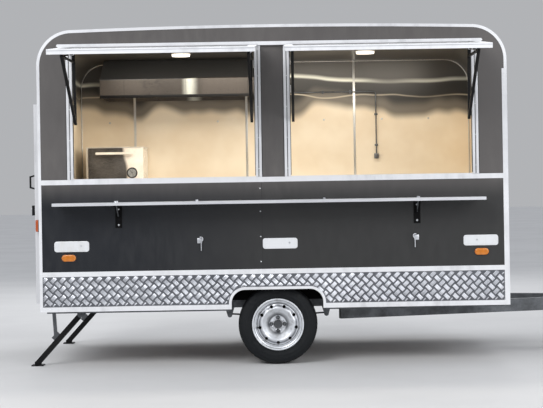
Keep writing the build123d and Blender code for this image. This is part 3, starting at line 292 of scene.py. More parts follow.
def oven_sheet():
    """Polished oven door with a painted reflection: dark on one side of a wavy line and light on
    the other.
    """
    made = Finish("oven_steel", metallic=0.08)
    reflection_edge_x = mid_x - 1.285
    handle_y = mid_y + 0.534
    # The dark and light sides are a painted reflection; the handle takes the light tone.
    cloud = made.noise(5, 2)
    dark = made.blend(cloud, 0.35, 0.65, (62, 60, 59), (84, 82, 80))
    reflected_light = made.blend(cloud, 0.35, 0.65, (252, 246, 236), (232, 224, 212))
    across = made.lifted(0.02, 3.0, axis="X")
    door = made.blend(across, reflection_edge_x - 0.012, reflection_edge_x + 0.02, dark, reflected_light)
    handle = made.spread(made.height("Y"), handle_y - 0.004, handle_y + 0.004, 1.0, 0.0)
    made.colour(made.mix(handle, door, reflected_light))
    lay = made.noise(60, 4, (1, 14, 14))
    made.roughness(lay, 0.2, 0.34)
    made.bump(lay, 0.05, 0.0008)


def wheel_silver():
    """Silver paint on the rims, darker in the creases of the pressing as painted shade."""
    made = Finish("wheel_silver", metallic=0.55, coat=0.2)
    grime = made.noise(22, 6)
    tone = made.blend(grime, 0.45, 0.8, (222, 225, 230), (160, 160, 160))
    reach = made.radius(mid_x + wheel_x, wheel_z)
    crease_shade_strength = made.spread(grime, 0.1, 0.5, 0.7, 1.0)
    # Painted shade: darker rings round the axle at the pressing's creases, the ring of holes and
    # the hub.
    for crease, below, above, shade in (
        (0.1565, 0.005, 0.005, (52, 53, 56)),
        (0.139, 0.014, 0.014, (122, 124, 130)),
        (0.067, 0.010, 0.030, (104, 106, 110)),
        (0.1795, 0.003, 0.003, (96, 98, 102)),
    ):
        tone = made.glint(reach, crease, below, above, tone, shade, crease_shade_strength)
    made.colour(tone)
    made.roughness(grime, 0.28, 0.46)
    made.bump(made.noise(500, 1), 0.1, 0.0004)


# Painted shade: the serving wall is darker below 1.2 m and towards the rear; the end walls, back
# wall and rear door darken gradually from 2.3 m down to 0.3 m.
painted_body("charcoal_paint", 1.2, 1.45, mid_x + 0.3)
painted_body("end_paint", 0.3, 2.3)
painted("white_aluminium", (226, 227, 230), (196, 197, 200), 0.3, 0.46)
painted("flap_skin", (62, 62, 65), (80, 79, 79))
painted("black_steel", (12, 12, 14), (32, 31, 30), 0.42, 0.6, coat=0.0, specular=0.2)
painted("gasket_and_shade", (18, 18, 19), (34, 34, 34), 0.6, 0.75, coat=0.0)
painted("cap_iron", (58, 60, 64), (78, 78, 80), 0.3, 0.45)
painted("white_plastic", (222, 224, 227), (206, 206, 204), 0.18, 0.3, coat=0.3, grain=90)
painted("black_plastic", (24, 24, 25), (40, 40, 41), 0.35, 0.5)

metal("bare_aluminium", (214, 216, 220), (176, 178, 182), 0.28, 0.46, (1, 1, 12), 30)
metal("tread_plate", (208, 210, 216), (184, 186, 192), 0.28, 0.42, (8, 1, 1), 30, 0.25)
# The plate between the bars is the same metal, darker as painted shade.
metal("tread_base_shaded", (122, 124, 129), (98, 100, 105), 0.34, 0.5, (8, 1, 1), 30, 0.25)
metal("stainless", (222, 219, 212), (196, 192, 184), 0.2, 0.33, (1, 1, 18), 45, 0.35)
metal("worktop_steel", (220, 219, 215), (198, 196, 192), 0.26, 0.4, (1, 16, 16), 45)
metal("shelf_steel", (238, 239, 242), (222, 223, 227), 0.3, 0.42, (1, 14, 14), 40)
metal("bright_zinc", (232, 234, 238), (190, 192, 196), 0.22, 0.4)

weathered(
    "arch_black", (9, 6), (0.35, 0.7), (8, 8, 10), (18, 17, 17), (0.7, 0.85), (0.3, 0.003),
    specular=0.15,
)
weathered(
    "drum_iron", (30, 7), (0.45, 0.7), (44, 42, 41), (92, 60, 42), (0.55, 0.8), (0.4, 0.002),
    metallic=0.4,
)
weathered(
    "floor_board", (26, 6, (0.12, 1, 1), 0.8), (0.3, 0.7), (122, 96, 70), (86, 64, 46),
    (0.5, 0.7), (0.2, 0.001),
)
weathered(
    "dial_glass", (50, 4), (0.4, 0.7), (150, 152, 150), (120, 122, 121), (0.1, 0.22), coat=0.6
)
weathered("studio_floor", (0.8,), (0.3, 0.7), (226, 226, 226), (220, 220, 220), (0.7, 0.8))
lamp = weathered(
    "lamp_lens", (40,), (0.3, 0.7), (240, 238, 230), (224, 220, 208), (0.35, 0.5)
)
lamp.shader.inputs["Emission Color"].default_value = linear(255, 246, 228)
lamp.shader.inputs["Emission Strength"].default_value = 1.1

lining_sheet()
hood_sheet()
oven_sheet()
wheel_silver()

bright = Finish("light_steel", metallic=0.3)
bright.colour(bright.blend(bright.noise(7, 4), 0.3, 0.7, (226, 222, 214), (202, 197, 188)))
bright.roughness(bright.noise(60, 3, (1, 1, 12)), 0.28, 0.42)

zinc = Finish("galvanised_steel", metallic=0.85)
zinc.colour(zinc.blend(zinc.noise(6, 5), 0.3, 0.7, (122, 125, 129), (86, 88, 90)))
spangle = zinc.node("ShaderNodeTexVoronoi", {"Vector": zinc.place, "Scale": 70}).outputs["Color"]
zinc.roughness(spangle, 0.38, 0.6, 0, 1)
zinc.bump(zinc.noise(120), 0.15, 0.001)

for name, tone, dusty in (
    ("tyre_rubber", (13, 16, 20), (46, 47, 46)),
    ("jockey_rubber", (34, 34, 35), (84, 80, 74)),
):
    rubber = Finish(name, specular=0.3)
    dust = rubber.noise(26, 7)
    patch = rubber.noise(4)
    share = rubber.multiply(rubber.spread(dust, 0.4, 0.8), rubber.spread(patch, 0.3, 0.8))
    rubber.colour(rubber.mix(share, tone, dusty))
    rubber.roughness(dust, 0.62, 0.85)
    rubber.bump(rubber.noise(420, 2), 0.25, 0.0006)

for name, tone, deep in (
    ("amber_lens", (232, 140, 12), (160, 78, 4)),
    ("tail_lens", (206, 96, 32), (146, 56, 14)),
):
    lens = Finish(name, coat=0.8)
    inputs = {"Vector": lens.place, "Scale": 34}
    rib = lens.node("ShaderNodeTexWave", inputs, bands_direction="X").outputs["Fac"]
    lens.colour(lens.blend(rib, 0, 1, tone, deep))
    lens.roughness(lens.noise(60), 0.12, 0.24)
    lens.bump(rib, 0.4, 0.002)

# The CAD nodes whose finish isn't their record slot's
finish_of = {
    "hood": "hood_steel",
    "oven": "oven_steel",
    "shelf": "shelf_steel",
    "tread_skirts": "tread_base_shaded",
    **dict.fromkeys(("wheel_boxes", "shelf_legs"), "arch_black"),
    **dict.fromkeys(("front_end_wall", "rear_end_wall", "back_wall", "rear_door"), "end_paint"),
}
for row in frame["record"]["subparts"]:
    node = frame["nodes"][row["node"]]
    node.data.materials.clear()
    node.data.materials.append(materials[finish_of.get(row["node"], row["material_slot"])])

# The finish that each extra material belongs to in the record
slot_of = {
    "end_paint": "charcoal_paint",
    "arch_black": "galvanised_steel",
    "tread_base_shaded": "tread_plate",
    **dict.fromkeys(("gasket_and_shade", "black_plastic"), "black_steel"),
    **dict.fromkeys(("bright_zinc", "cap_iron"), "wheel_silver"),
    **dict.fromkeys(("lining_steel", "hood_steel", "oven_steel"), "stainless"),
    **dict.fromkeys(("light_steel", "shelf_steel", "dial_glass"), "stainless"),
}

# Shapes, drawn in body coordinates


def millimetres(*rows):
    """Rows of numbers in metres, from rows in millimetres."""
    return [tuple(number / 1000 for number in row) for row in rows]


def about(middle, half):
    """The span that reaches equally far to both sides of a middle."""
    return middle - half, middle + half


def circle(segments):
    """The cosine and sine of evenly spaced angles round a circle."""
    angles = (2 * math.pi * step / segments for step in range(segments))
    return [(math.cos(angle), math.sin(angle)) for angle in angles]


def arc(start, end, step):
    """The cosine and sine of angles in degrees, from start to end."""
    angles = (math.radians(angle) for angle in range(start, end + 1, step))
    return [(math.cos(angle), math.sin(angle)) for angle in angles]


def add_box(shape, x, y, z, bevel=0.0):
    """Adds a box that fills a span along each axis, with its edges eased."""
    low, high = (Vector(corner) for corner in zip(*map(sorted, (x, y, z))))
    matrix = Matrix.Translation((low + high) / 2) @ Matrix.Diagonal((*(high - low), 1))
    made = bmesh.ops.create_cube(shape, size=1, matrix=matrix)
    if bevel:
        edges = {edge for vertex in made["verts"] for edge in vertex.link_edges}
        bmesh.ops.bevel(
            shape, geom=list(edges), offset=bevel, segments=2, profile=0.5, affect="EDGES"
        )


def add_rod(shape, start, end, radius, end_radius=None, segments=16):
    """Adds a round bar or cone between two points."""
    start, end = Vector(start), Vector(end)
    line = end - start
    turn = line.to_track_quat("Z", "Y").to_matrix().to_4x4()
    bmesh.ops.create_cone(
        shape,
        cap_ends=True,
        segments=segments,
        radius1=radius,
        radius2=radius if end_radius is None else end_radius,
        depth=line.length,
        matrix=Matrix.Translation((start + end) / 2) @ turn,
    )


def add_sheet(shape, points):
    """Adds one flat face through a row of points."""
    shape.faces.new([shape.verts.new(point) for point in points])


def rectangle(low, high):
    """The corners of a rectangle in a plane's own two axes."""
    return low, (high[0], low[1]), high, (low[0], high[1])


def add_faces(shape, points, faces):
    """Adds faces, each a row of places in a list of points."""
    vertices = [shape.verts.new(point) for point in points]
    for face in faces:
        shape.faces.new([vertices[index] for index in face])


def add_loops(shape, loops, fill_last=True, fill_first=False, closed=False):
    """Skins closed loops that have the same number of points."""
    rings = [[shape.verts.new(point) for point in loop] for loop in loops]
    pairs = list(zip(rings, rings[1:]))
    if closed:
        pairs.append((rings[-1], rings[0]))
    for first, second in pairs:
        for step in range(len(first)):
            after = (step + 1) % len(first)
            shape.faces.new((first[step], first[after], second[after], second[step]))
    if fill_last:
        shape.faces.new(rings[-1])
    if fill_first:
        shape.faces.new(rings[0][::-1])
    return rings


def add_pipe(shape, points, radius, segments=12, closed=False):
    """Adds a round tube through a list of points."""
    points = [Vector(point) for point in points]
    count = len(points)
    loops = []
    across = None
    for index, point in enumerate(points):
        before = points[index - 1] if index or closed else point
        after = points[(index + 1) % count] if index < count - 1 or closed else point
        heading = (after - before).normalized()
        if across is None:
            seed = Vector((0, 0, 1)) if abs(heading.z) < 0.9 else Vector((1, 0, 0))
            across = heading.cross(seed).normalized()
        else:
            across = (across - heading * across.dot(heading)).normalized()
        other = heading.cross(across)
        loops.append([point + (across * c + other * s) * radius for c, s in circle(segments)])
    add_loops(shape, loops, not closed, not closed, closed)


def add_dome(shape, point, normal, radius, height, segments=10):
    """Adds a low round head, such as a rivet's, on a surface."""
    point, normal = Vector(point), Vector(normal).normalized()
    turn = normal.to_track_quat("Z", "Y")
    loops = []
    for share, rise in ((1.0, 0.0), (0.92, 0.45), (0.6, 0.88)):
        flat = [Vector((c, s, 0)) * radius * share for c, s in circle(segments)]
        lift = Vector((0, 0, height * rise))
        loops.append([point + turn @ (spot + lift) for spot in flat])
    last = add_loops(shape, loops, fill_last=False)[-1]
    top = shape.verts.new(point + normal * height)
    for step in range(segments):
        shape.faces.new((last[step], last[(step + 1) % segments], top))


def add_hex(shape, point, normal, radius, height):
    """Adds a hexagon bolt head with a washer."""
    point, normal = Vector(point), Vector(normal).normalized()
    washer = point + normal * height * 0.25
    add_rod(shape, point, washer, radius * 1.35, segments=20)
    add_rod(shape, washer, point + normal * height, radius, radius * 0.94, segments=6)


def rounded(centre, width, height, radius, steps):
    """Points of a rounded rectangle about a centre, in a plane's own two axes."""
    points = []
    for sign_x, sign_y, start in ((1, 1, 0), (-1, 1, 90), (-1, -1, 180), (1, -1, 270)):
        corner_x = centre[0] + sign_x * (width / 2 - radius)
        corner_y = centre[1] + sign_y * (height / 2 - radius)
        for step in range(steps + 1):
            angle = math.radians(start + 90 * step / steps)
            points.append(
                (corner_x + radius * math.cos(angle), corner_y + radius * math.sin(angle))
            )
    return points


def add_lid(shape, centre, size, corner, rows, steps, place, least=0.003):
    """Stacks rounded rectangles, each with its own (inset, rise), and closes the last."""
    loops = []
    for inset, rise in rows:
        width, height = size[0] - 2 * inset, size[1] - 2 * inset
        flat = rounded(centre, width, height, max(corner - inset, least), steps)
        loops.append([place(u, v, rise) for u, v in flat])
    add_loops(shape, loops)


def add_lathe(shape, profile, centre, segments, side):
    """Turns a profile of (distance along Y, radius) about an axis along Y."""
    x, y, z = centre
    loops = [
        [(x + radius * c, y + side * along, z + radius * s) for c, s in circle(segments)]
        for along, radius in profile
    ]
    return add_loops(shape, loops, fill_last=False)


def to_mesh(shape, name):
    """Turns a finished shape into a mesh."""
    mesh = bpy.data.meshes.new(name)
    shape.to_mesh(mesh)
    shape.free()
    return mesh


def link(name, data):
    """Puts a new object in the scene."""
    made = bpy.data.objects.new(name, data)
    bpy.context.scene.collection.objects.link(made)
    return made


def piece(shape, name, material, body="trailer", smooth=35):
    """Turns a finished shape into an object that rides on a body."""
    bmesh.ops.recalc_face_normals(shape, faces=shape.faces[:])
    bmesh.ops.translate(shape, vec=(mid_x, mid_y, 0), verts=shape.verts[:])
    mesh = to_mesh(shape, name)
    for polygon in mesh.polygons:
        polygon.use_smooth = True
    mesh.set_sharp_from_angle(angle=math.radians(smooth))
    mesh.materials.append(materials[material])
    made = link(name, mesh)
    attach(made, body)
    return made


# Tread plate: raised bars in groups of three that lie one way and then the other

skirt_face = 0.0026
cell = 0.0476
bar_pitch = 0.0092
bar_half_length = 0.0250
bar_half_width = 0.0041
bar_height = 0.0014
tread_margin = 0.003
plate_joint = -0.730
joint_half = 0.0025
arch_corner = 0.120
arch_low, arch_high = local_box("arch_trims")
skirt_low, skirt_high = local_box("tread_skirts")
strip_low = local_box("face_strips")[0]


def on_tread(x, z):
    """True on the open face of a skirt, clear of its trims, joint and wheel arch."""
    if not skirt_low.z + tread_margin < z < skirt_high.z - tread_margin:
        return False
    if not skirt_low.x + tread_margin < x < skirt_high.x - tread_margin:
        return False
    if abs(x - plate_joint) < joint_half:
        return False
    along = abs(x - (arch_low.x + arch_high.x) / 2)
    reach_x = along - ((arch_high.x - arch_low.x) / 2 - arch_corner)
    reach_z = z - (arch_high.z - arch_corner)
    if reach_x < 0:
        return reach_z > arch_corner + tread_margin
    if reach_z < 0:
        return reach_x > arch_corner + tread_margin
    return math.hypot(reach_x, reach_z) > arch_corner + tread_margin


def clipped_bar(x, z, angle):
    """The middle and half length of the part of a bar that lies on the open face."""
    steps = 16
    marks = []
    for step in range(-steps, steps + 1):
        along = bar_half_length * step / steps
        if on_tread(x + along * math.cos(angle), z + along * math.sin(angle)):
            marks.append(along)
    if len(marks) < 5:
        return None
    middle = (marks[0] + marks[-1]) / 2
    half = (marks[-1] - marks[0]) / 2
    return x + middle * math.cos(angle), z + middle * math.sin(angle), half


def tread_bar(shape, x, y, z, angle, side, half_long):
    """Adds a bar that is pointed at both ends and rises to a narrow ridge."""
    along = Vector((math.cos(angle), 0, math.sin(angle)))
    across = Vector((-math.sin(angle), 0, math.cos(angle)))
    centre = Vector((x, y, z))
    shoulder = max(0.3 * half_long, half_long - 1.3 * bar_half_width)
    crest = shoulder - bar_half_width * 0.1
    base = (
        (half_long, 0), (shoulder, 1), (-shoulder, 1),
        (-half_long, 0), (-shoulder, -1), (shoulder, -1),
    )
    ridge = ((crest, 0.15), (-crest, 0.15), (-crest, -0.15), (crest, -0.15))
    points = [
        centre + along * reach + across * bar_half_width * aside + Vector((0, rise, 0))
        for places, rise in ((base, 0), (ridge, side * bar_height))
        for reach, aside in places
    ]
    faces = (
        (0, 1, 6, 9), (1, 2, 7, 6), (2, 3, 8, 7), (3, 4, 8), (4, 5, 9, 8), (5, 0, 9),
        (6, 7, 8, 9),
    )
    add_faces(shape, points, faces)


def make_tread(name, side):
    shape = bmesh.new()
    y = side * (half_width + skirt_face)
    root = math.sqrt(0.5)
    reach = int(2.6 / cell)
    for i in range(-reach, reach):
        for j in range(-reach, reach):
            lie = (i + j) % 2
            angle = math.radians(45 if lie else 135)
            for step in (-1, 0, 1):
                bar_u = (i + 0.5) * cell + (0 if lie else step * bar_pitch)
                bar_v = (j + 0.5) * cell + (step * bar_pitch if lie else 0)
                x = (bar_u - bar_v) * root
                z = (bar_u + bar_v) * root + skirt_low.z
                if not skirt_low.x < x < skirt_high.x or not skirt_low.z < z < skirt_high.z:
                    continue
                fitted = clipped_bar(x, z, angle)
                if fitted:
                    tread_bar(shape, fitted[0], y, fitted[1], angle, side, fitted[2])
    piece(shape, f"tread_bars_{name}", "tread_plate", smooth=20)


for name, side in sides:
    make_tread(name, side)

# Rivets along trims, strips and seams

rivet_pitch = 0.24
row_end = 1.68
strip_face = 0.004
post_face = 0.003


def rivet_row(shape, start, end, normal):
    start, end = Vector(start), Vector(end)
    count = max(1, round((end - start).length / rivet_pitch))
    for step in range(count + 1):
        add_dome(shape, start + (end - start) * step / count, normal, 0.0042, 0.002)


trim_rivets = bmesh.new()
for name, side in sides:
    out = (0, side, 0)
    y = side * (half_width + strip_face)
    for z in (strip_low.z + 0.018, skirt_high.z + 0.018):
        spans = [(-row_end, row_end)]
        if z < arch_high.z:
            spans = [(-row_end, arch_low.x - 0.03), (arch_high.x + 0.03, row_end)]
        for start, end in spans:
            rivet_row(trim_rivets, (start, y, z), (end, y, z), out)
    y = side * (half_width + post_face)
    for x in (0.0095 - half_length, half_length - 0.0175):
        rivet_row(trim_rivets, (x, y, 0.46), (x, y, 2.15), out)
piece(trim_rivets, "trim_rivets", "white_aluminium")

seams = bmesh.new()
seam_rivets = bmesh.new()
panel_joints = (-0.875, 0.0, 0.875)
low_rivets = (0.776, 0.963, 1.151, 1.322)
high_rivets = (1.45, 1.6, 1.75, 1.9, 2.05, 2.2, 2.35)
for side, places, top, heights in (
    (-1, (-0.090,), 1.365, low_rivets),
    (1, panel_joints, 2.50, low_rivets + high_rivets),
):
    y = side * half_width
    for x in places:
        add_box(seams, about(x, 0.001), about(y, 0.0003), (0.722, top))
        for z in heights:
            add_dome(seam_rivets, (x - 0.012, y, z), (0, side, 0), 0.005, 0.002)
piece(seams, "panel_seams", "gasket_and_shade")
piece(seam_rivets, "seam_rivets", "bare_aluminium")

roof_top = local_box("roof")[1].z
roof_camber = 0.022
roof_flat_half = 1.490
strips = bmesh.new()
for x in panel_joints:
    z = roof_top - roof_camber * (x / roof_flat_half) ** 2
    add_box(strips, about(x, 0.012), about(0, inner_half_width), (z - 0.004, z + 0.0012))
    for step in range(-9, 10):
        for dx in (-0.007, 0.007):
            add_dome(strips, (x + dx, step * 0.108, z + 0.0012), (0, 0, 1), 0.003, 0.0012, 8)
piece(strips, "roof_joint_strips", "charcoal_paint")

# Window frames: two raised lines round each frame, black strips of painted shade beside them, and
# screw heads

frames_low, frames_high = local_box("window_frames")
frame_face = frames_low.y
frame_low_z = frames_low.z + 0.017
frame_high_z = frames_high.z
outer = 1.449 / 2
inner = outer - 0.046
ribs = bmesh.new()
shade_strips = bmesh.new()
rib_y = (frame_face - 0.003, frame_face)
rib_z = (frame_low_z, frame_high_z - 0.002)
# The black strips along the frames are painted shade in the gaps beside them.
upright_bars = (
    (ribs, (outer - 0.017, outer - 0.001), rib_y, rib_z, 0.001),
    (ribs, (inner + 0.001, inner + 0.019), rib_y, rib_z, 0.001),
    (
        shade_strips, (outer, outer + 0.004), (-half_width - 0.003, -half_width),
        (frame_low_z + 0.02, frame_high_z), 0,
    ),
    (
        shade_strips, (outer - 0.0255, outer - 0.0205), (frame_face - 0.0008, frame_face),
        (frame_low_z, frame_high_z - 0.014), 0,
    ),
    (
        shade_strips, (inner - 0.004, inner), (frame_face + 0.004, frame_face + 0.02),
        (frame_low_z + 0.01, frame_high_z - 0.03), 0,
    ),
)
for name, centre in windows:
    for side in (-1, 1):
        for shape, (near, far), y, z, bevel in upright_bars:
            add_box(shape, (centre + side * near, centre + side * far), y, z, bevel)
        for z in (1.47, 1.70, 1.93, 2.16):
            screw = (centre + side * (inner + 0.024), frame_face, z)
            add_dome(ribs, screw, (0, -1, 0), 0.0035, 0.002)
    add_box(
        ribs, about(centre, inner), (frame_face - 0.002, frame_face),
        (frame_high_z - 0.012, frame_high_z - 0.004), 0.001,
    )
piece(ribs, "window_frame_ribs", "white_aluminium")
piece(shade_strips, "window_shade_strips", "gasket_and_shade")

# Lining of polished sheet inside the cabin. It stops at the doorway and the wheel boxes.

lining_gap = 0.002
ceiling = 2.430
ceiling_radius = 0.220
bend_foot = ceiling - ceiling_radius
sill = 1.390
floor_top = local_box("floor")[1].z
lining_x = inner_half_length - lining_gap
lining_y = inner_half_width - lining_gap
box_rear, box_front, box_high = -0.335, 0.365, 0.70
(door_y0, door_z0), (door_y1, door_z1) = ((-0.926, 0.500), (-0.286, 1.948))


def inner_profile(inset, steps=12):
    """The cabin's long section above its floor, as points of X and Z."""
    half = inner_half_length - inset
    radius = ceiling_radius - inset
    middle_z = ceiling - inset - radius
    points = [(-half, floor_top)]
    for middle_x, start in ((radius - half, 180), (half - radius, 90)):
        for step in range(steps + 1):
            angle = math.radians(start - 90 * step / steps)
            points.append(
                (middle_x + radius * math.cos(angle), middle_z + radius * math.sin(angle))
            )
    return [*points, (half, floor_top)]


outline = inner_profile(lining_gap)
notch = (
    (box_front, floor_top), (box_front, box_high), (box_rear, box_high), (box_rear, floor_top)
)
lining = bmesh.new()
add_sheet(lining, [(x, lining_y, z) for x, z in (*outline, *notch)])
piece(lining, "lining_back", "lining_steel")

lining = bmesh.new()
near = [lining.verts.new((x, -lining_y, z)) for x, z in outline[1:-1]]
far = [lining.verts.new((x, lining_y, z)) for x, z in outline[1:-1]]
for index in range(len(near) - 1):
    lining.faces.new((near[index], near[index + 1], far[index + 1], far[index]))
piece(lining, "lining_ceiling", "lining_steel", smooth=40)

lining = bmesh.new()
end_face = rectangle((-lining_y, floor_top), (lining_y, bend_foot))
add_sheet(lining, [(lining_x, y, z) for y, z in end_face])
piece(lining, "lining_front", "lining_steel")

lining = bmesh.new()
for low, high in (
    ((-lining_y, floor_top), (door_y0, bend_foot)),
    ((door_y1, floor_top), (lining_y, bend_foot)),
    ((door_y0, door_z1), (door_y1, bend_foot)),
):
    add_sheet(lining, [(-lining_x, y, z) for y, z in rectangle(low, high)])
piece(lining, "lining_rear", "lining_steel")

lining = bmesh.new()
edges = [-lining_x]
for name, centre in windows:
    edges += [centre - outer, centre + outer]
edges.append(lining_x)
for low, high in (
    ((-lining_x, floor_top), (box_rear, sill)),
    ((box_rear, box_high), (box_front, sill)),
    ((box_front, floor_top), (lining_x, sill)),
    *(((start, sill), (end, bend_foot)) for start, end in zip(edges[::2], edges[1::2])),
):
    add_sheet(lining, [(x, -lining_y, z) for x, z in rectangle(low, high)])
piece(lining, "lining_serving", "lining_steel")

# Joint strips on the back lining, the cabin's edge beads and round plugs
beads = bmesh.new()
for x in (-1.235, -0.254, 0.695):
    add_box(beads, about(x, 0.010), (lining_y - 0.0025, lining_y), (1.36, 2.425), 0.0008)
add_pipe(beads, [(x, lining_y - 0.004, z) for x, z in inner_profile(0.008)], 0.004, 8)
for x in (-1.456, -0.507, 0.427, 0.937, 1.347):
    add_dome(beads, (x, lining_y, 1.908), (0, -1, 0), 0.009, 0.004, 12)
piece(beads, "lining_beads", "worktop_steel")

# A pipe along the back lining that bends down to a box, with its clips
pipes = bmesh.new()
pipe_y = lining_y - 0.016
pipe_z = 2.150
drop_x = 0.885
bend = millimetres((22, 0), (7, 4), (1, 15), (0, 30))
line = [(-0.02, pipe_y, pipe_z)]
line += [(drop_x - short, pipe_y, pipe_z - down) for short, down in bend]
line.append((drop_x, pipe_y, 1.60))
add_pipe(pipes, line, 0.0055)
clip_y = (pipe_y - 0.010, lining_y)
for x in (0.15, 0.42, 0.66):
    add_box(pipes, about(x, 0.008), clip_y, about(pipe_z, 0.014), 0.001)
for z in (1.68, 1.95):
    add_box(pipes, about(drop_x, 0.014), clip_y, about(z, 0.008), 0.001)
add_box(pipes, about(drop_x, 0.02), (pipe_y - 0.02, lining_y), (1.56, 1.605), 0.004)
piece(pipes, "wall_pipes", "galvanised_steel")

# Pale hooks on the inner jambs, flat against them and clear of the folding stays
hooks = bmesh.new()
hook_radius = 0.0045
hook_y = -half_width + 0.020
for jamb_x, turn, heights in ((-0.131, -1, (2.25,)), (0.131, 1, (2.27, 2.06))):
    x = jamb_x + turn * hook_radius
    for z in heights:
        line = [(x, hook_y, z + 0.030)]
        line += [(x, hook_y + 0.020 + 0.020 * c, z + 0.022 * s) for c, s in arc(180, 360, 30)]
        add_pipe(hooks, line, hook_radius, 8)
piece(hooks, "jamb_hooks", "white_aluminium")

# Extraction hood: lower lip, panel joints and baffles
hood_low, hood_high = local_box("hood")
lip_top = hood_low.z + 0.022
lip = bmesh.new()
add_box(
    lip, (hood_low.x - 0.002, hood_high.x + 0.002), (hood_low.y - 0.004, hood_low.y + 0.02),
    (hood_low.z - 0.002, lip_top), 0.002,
)
piece(lip, "hood_lip", "black_steel")
joints = bmesh.new()
for x in (-1.262, -0.742, -0.222):
    face = (hood_low.y - 0.0006, hood_low.y)
    add_box(joints, about(x, 0.001), face, (lip_top, hood_low.z + 0.150))
piece(joints, "hood_joints", "black_steel")
baffles = bmesh.new()
count = 26
for step in range(count):
    x = hood_low.x + 0.03 + (hood_high.x - hood_low.x - 0.06) * (step + 0.5) / count
    add_box(
        baffles, about(x, 0.017), (hood_low.y + 0.03, hood_high.y - 0.01),
        (hood_low.z + 0.03, hood_low.z + 0.036), 0.001,
    )
piece(baffles, "hood_baffles", "stainless")

# Oven: dial with its ring and pointer, feet, top plate and edge strip
oven_low, oven_high = local_box("oven")
oven_front = 0.560
oven_foot = 1.352
dial_x = oven_low.x + 0.388
dial_y = oven_front - 0.028
dial_z = 1.465
details = bmesh.new()
ring = [(dial_x + 0.041 * c, dial_y - 0.001, dial_z + 0.041 * s) for c, s in arc(0, 345, 15)]
add_pipe(details, ring, 0.0055, 8, closed=True)
add_rod(details, (dial_x, dial_y + 0.001, dial_z), (dial_x, dial_y - 0.004, dial_z), 0.005)
pointer_y = dial_y - 0.002
add_rod(
    details, (dial_x, pointer_y, dial_z), (dial_x - 0.018, pointer_y, dial_z + 0.022), 0.0018
)
for x in (oven_low.x + 0.03, oven_low.x + 0.45):
    foot_y = (oven_front + 0.01, oven_front + 0.04)
    add_box(details, about(x, 0.015), foot_y, (oven_foot - 0.007, oven_foot))
piece(details, "oven_dial_ring", "black_plastic")
face = bmesh.new()
back, front = (dial_x, dial_y + 0.001, dial_z), (dial_x, dial_y - 0.0008, dial_z)
add_rod(face, back, front, 0.037, segments=40)
piece(face, "oven_dial_face", "dial_glass")
plates = bmesh.new()
add_box(
    plates, (oven_low.x - 0.004, oven_high.x + 0.004), (oven_front - 0.006, oven_high.y),
    (oven_high.z - 0.004, oven_high.z + 0.004), 0.0015,
)
add_box(
    plates, (oven_low.x - 0.003, oven_low.x + 0.014), (oven_front - 0.003, oven_front + 0.02),
    (oven_foot, oven_high.z - 0.004), 0.001,
)
piece(plates, "oven_plates", "light_steel")

# Ceiling lamps: a bezel round each lens
bezels = bmesh.new()
for x in (-0.750, 0.750):
    ring = [(x + 0.081 * c, 0.081 * s, ceiling - 0.006) for c, s in arc(0, 348, 12)]
    add_pipe(bezels, ring, 0.005, 8, closed=True)
piece(bezels, "lamp_bezels", "bare_aluminium")

# Road wheels. Their profiles are rows of (distance along the axle, radius).

tyre_radius = 0.298
bead_half, bead_radius = 0.0755, 0.1785
tyre_wall = millimetres(
    (75.5, 178.5), (75.5, 196), (80, 200), (84, 206), (86.2, 207.5), (86.6, 210.5), (86, 212),
    (89.5, 220), (91.5, 229), (92, 230.5), (92.4, 231.5), (91.8, 234), (91.4, 246), (90.2, 256),
    (90.4, 257.5), (89.2, 259.5), (88, 266), (85, 274), (82, 279.5), (82.2, 281.5), (78, 287),
    (72, 291.5), (65, 294.5),
)
tyre_grooves = ((0.050, 0.0042), (0.018, 0.0048))
groove_depth = 0.0065
rim_section = millimetres(
    # Outer face, from the hub over the dish and the ring of holes to the flange
    (24, 33), (29, 33), (29.5, 60), (31.5, 66), (36.5, 74), (44, 86), (52, 98), (60, 110),
    (64, 116), (65.5, 120), (65, 123.5), (61.5, 129), (58, 134.5), (54.5, 140), (52, 145.5),
    (49.5, 151), (48.5, 154.5), (49, 157.5), (52, 160), (62, 164.5), (70, 168), (73.5, 171.5),
    (74.5, 176.5), (76.5, 181), (80, 183.5), (82, 187), (82.4, 191), (81.2, 194.2), (78.5, 195),
    (76.8, 192.5), (76.6, 186), (75.5, 178.5),
    # Drop centre and inner flange, out and back
    (48, 178), (38, 162), (-30, 162), (-62.5, 178), (-75.5, 178.5), (-76.6, 194.5),
    (-82.4, 195), (-82.4, 174.5), (-30, 156), (36, 156),
    # Inner face of the dish, back to the hub
    (43, 151), (48, 144), (51.5, 137), (56, 130), (60, 124), (60.8, 120.5), (59, 116),
    (48, 99.5), (32.5, 76), (27, 67), (24.5, 60),
)
hole_count = 9
hole_circle = 0.139
hub_rows = (  # Distance out, share of the lobed outline, radius of the round one
    (0.026, 1.0, 0.0), (0.037, 1.0, 0.0), (0.0405, 0.95, 0.0), (0.0405, 0.80, 0.0),
    (0.0370, 0.0, 0.0385), (0.0395, 0.0, 0.0365), (0.0395, 0.0, 0.0335),
    (0.0290, 0.0, 0.0325),
)
bolt_circle = 0.049
cap_profile = millimetres(
    (28, 30.6), (49, 30.6), (50.8, 29.6), (51.5, 27), (50.5, 25), (51.2, 10), (51.4, 0.5),
)
shield_profile = millimetres((-12, 106), (-12, 150), (-14, 150), (-14, 106), (-12, 106))


def tyre_profile():
    """The tyre's outline from the outer bead over the tread to the inner bead."""
    half = list(tyre_wall)
    for centre, half_wide in tyre_grooves:
        crown = tyre_radius - 0.0035 * (centre / 0.065) ** 2
        half += [
            (centre + half_wide + 0.001, crown),
            (centre + half_wide, crown - 0.001),
            (centre + half_wide - 0.0015, crown - groove_depth),
            (centre - half_wide + 0.0015, crown - groove_depth),
            (centre - half_wide, crown - 0.001),
            (centre - half_wide - 0.001, crown),
        ]
    half.append((0.0, tyre_radius))
    return half + [(-along, radius) for along, radius in half[-2::-1]]


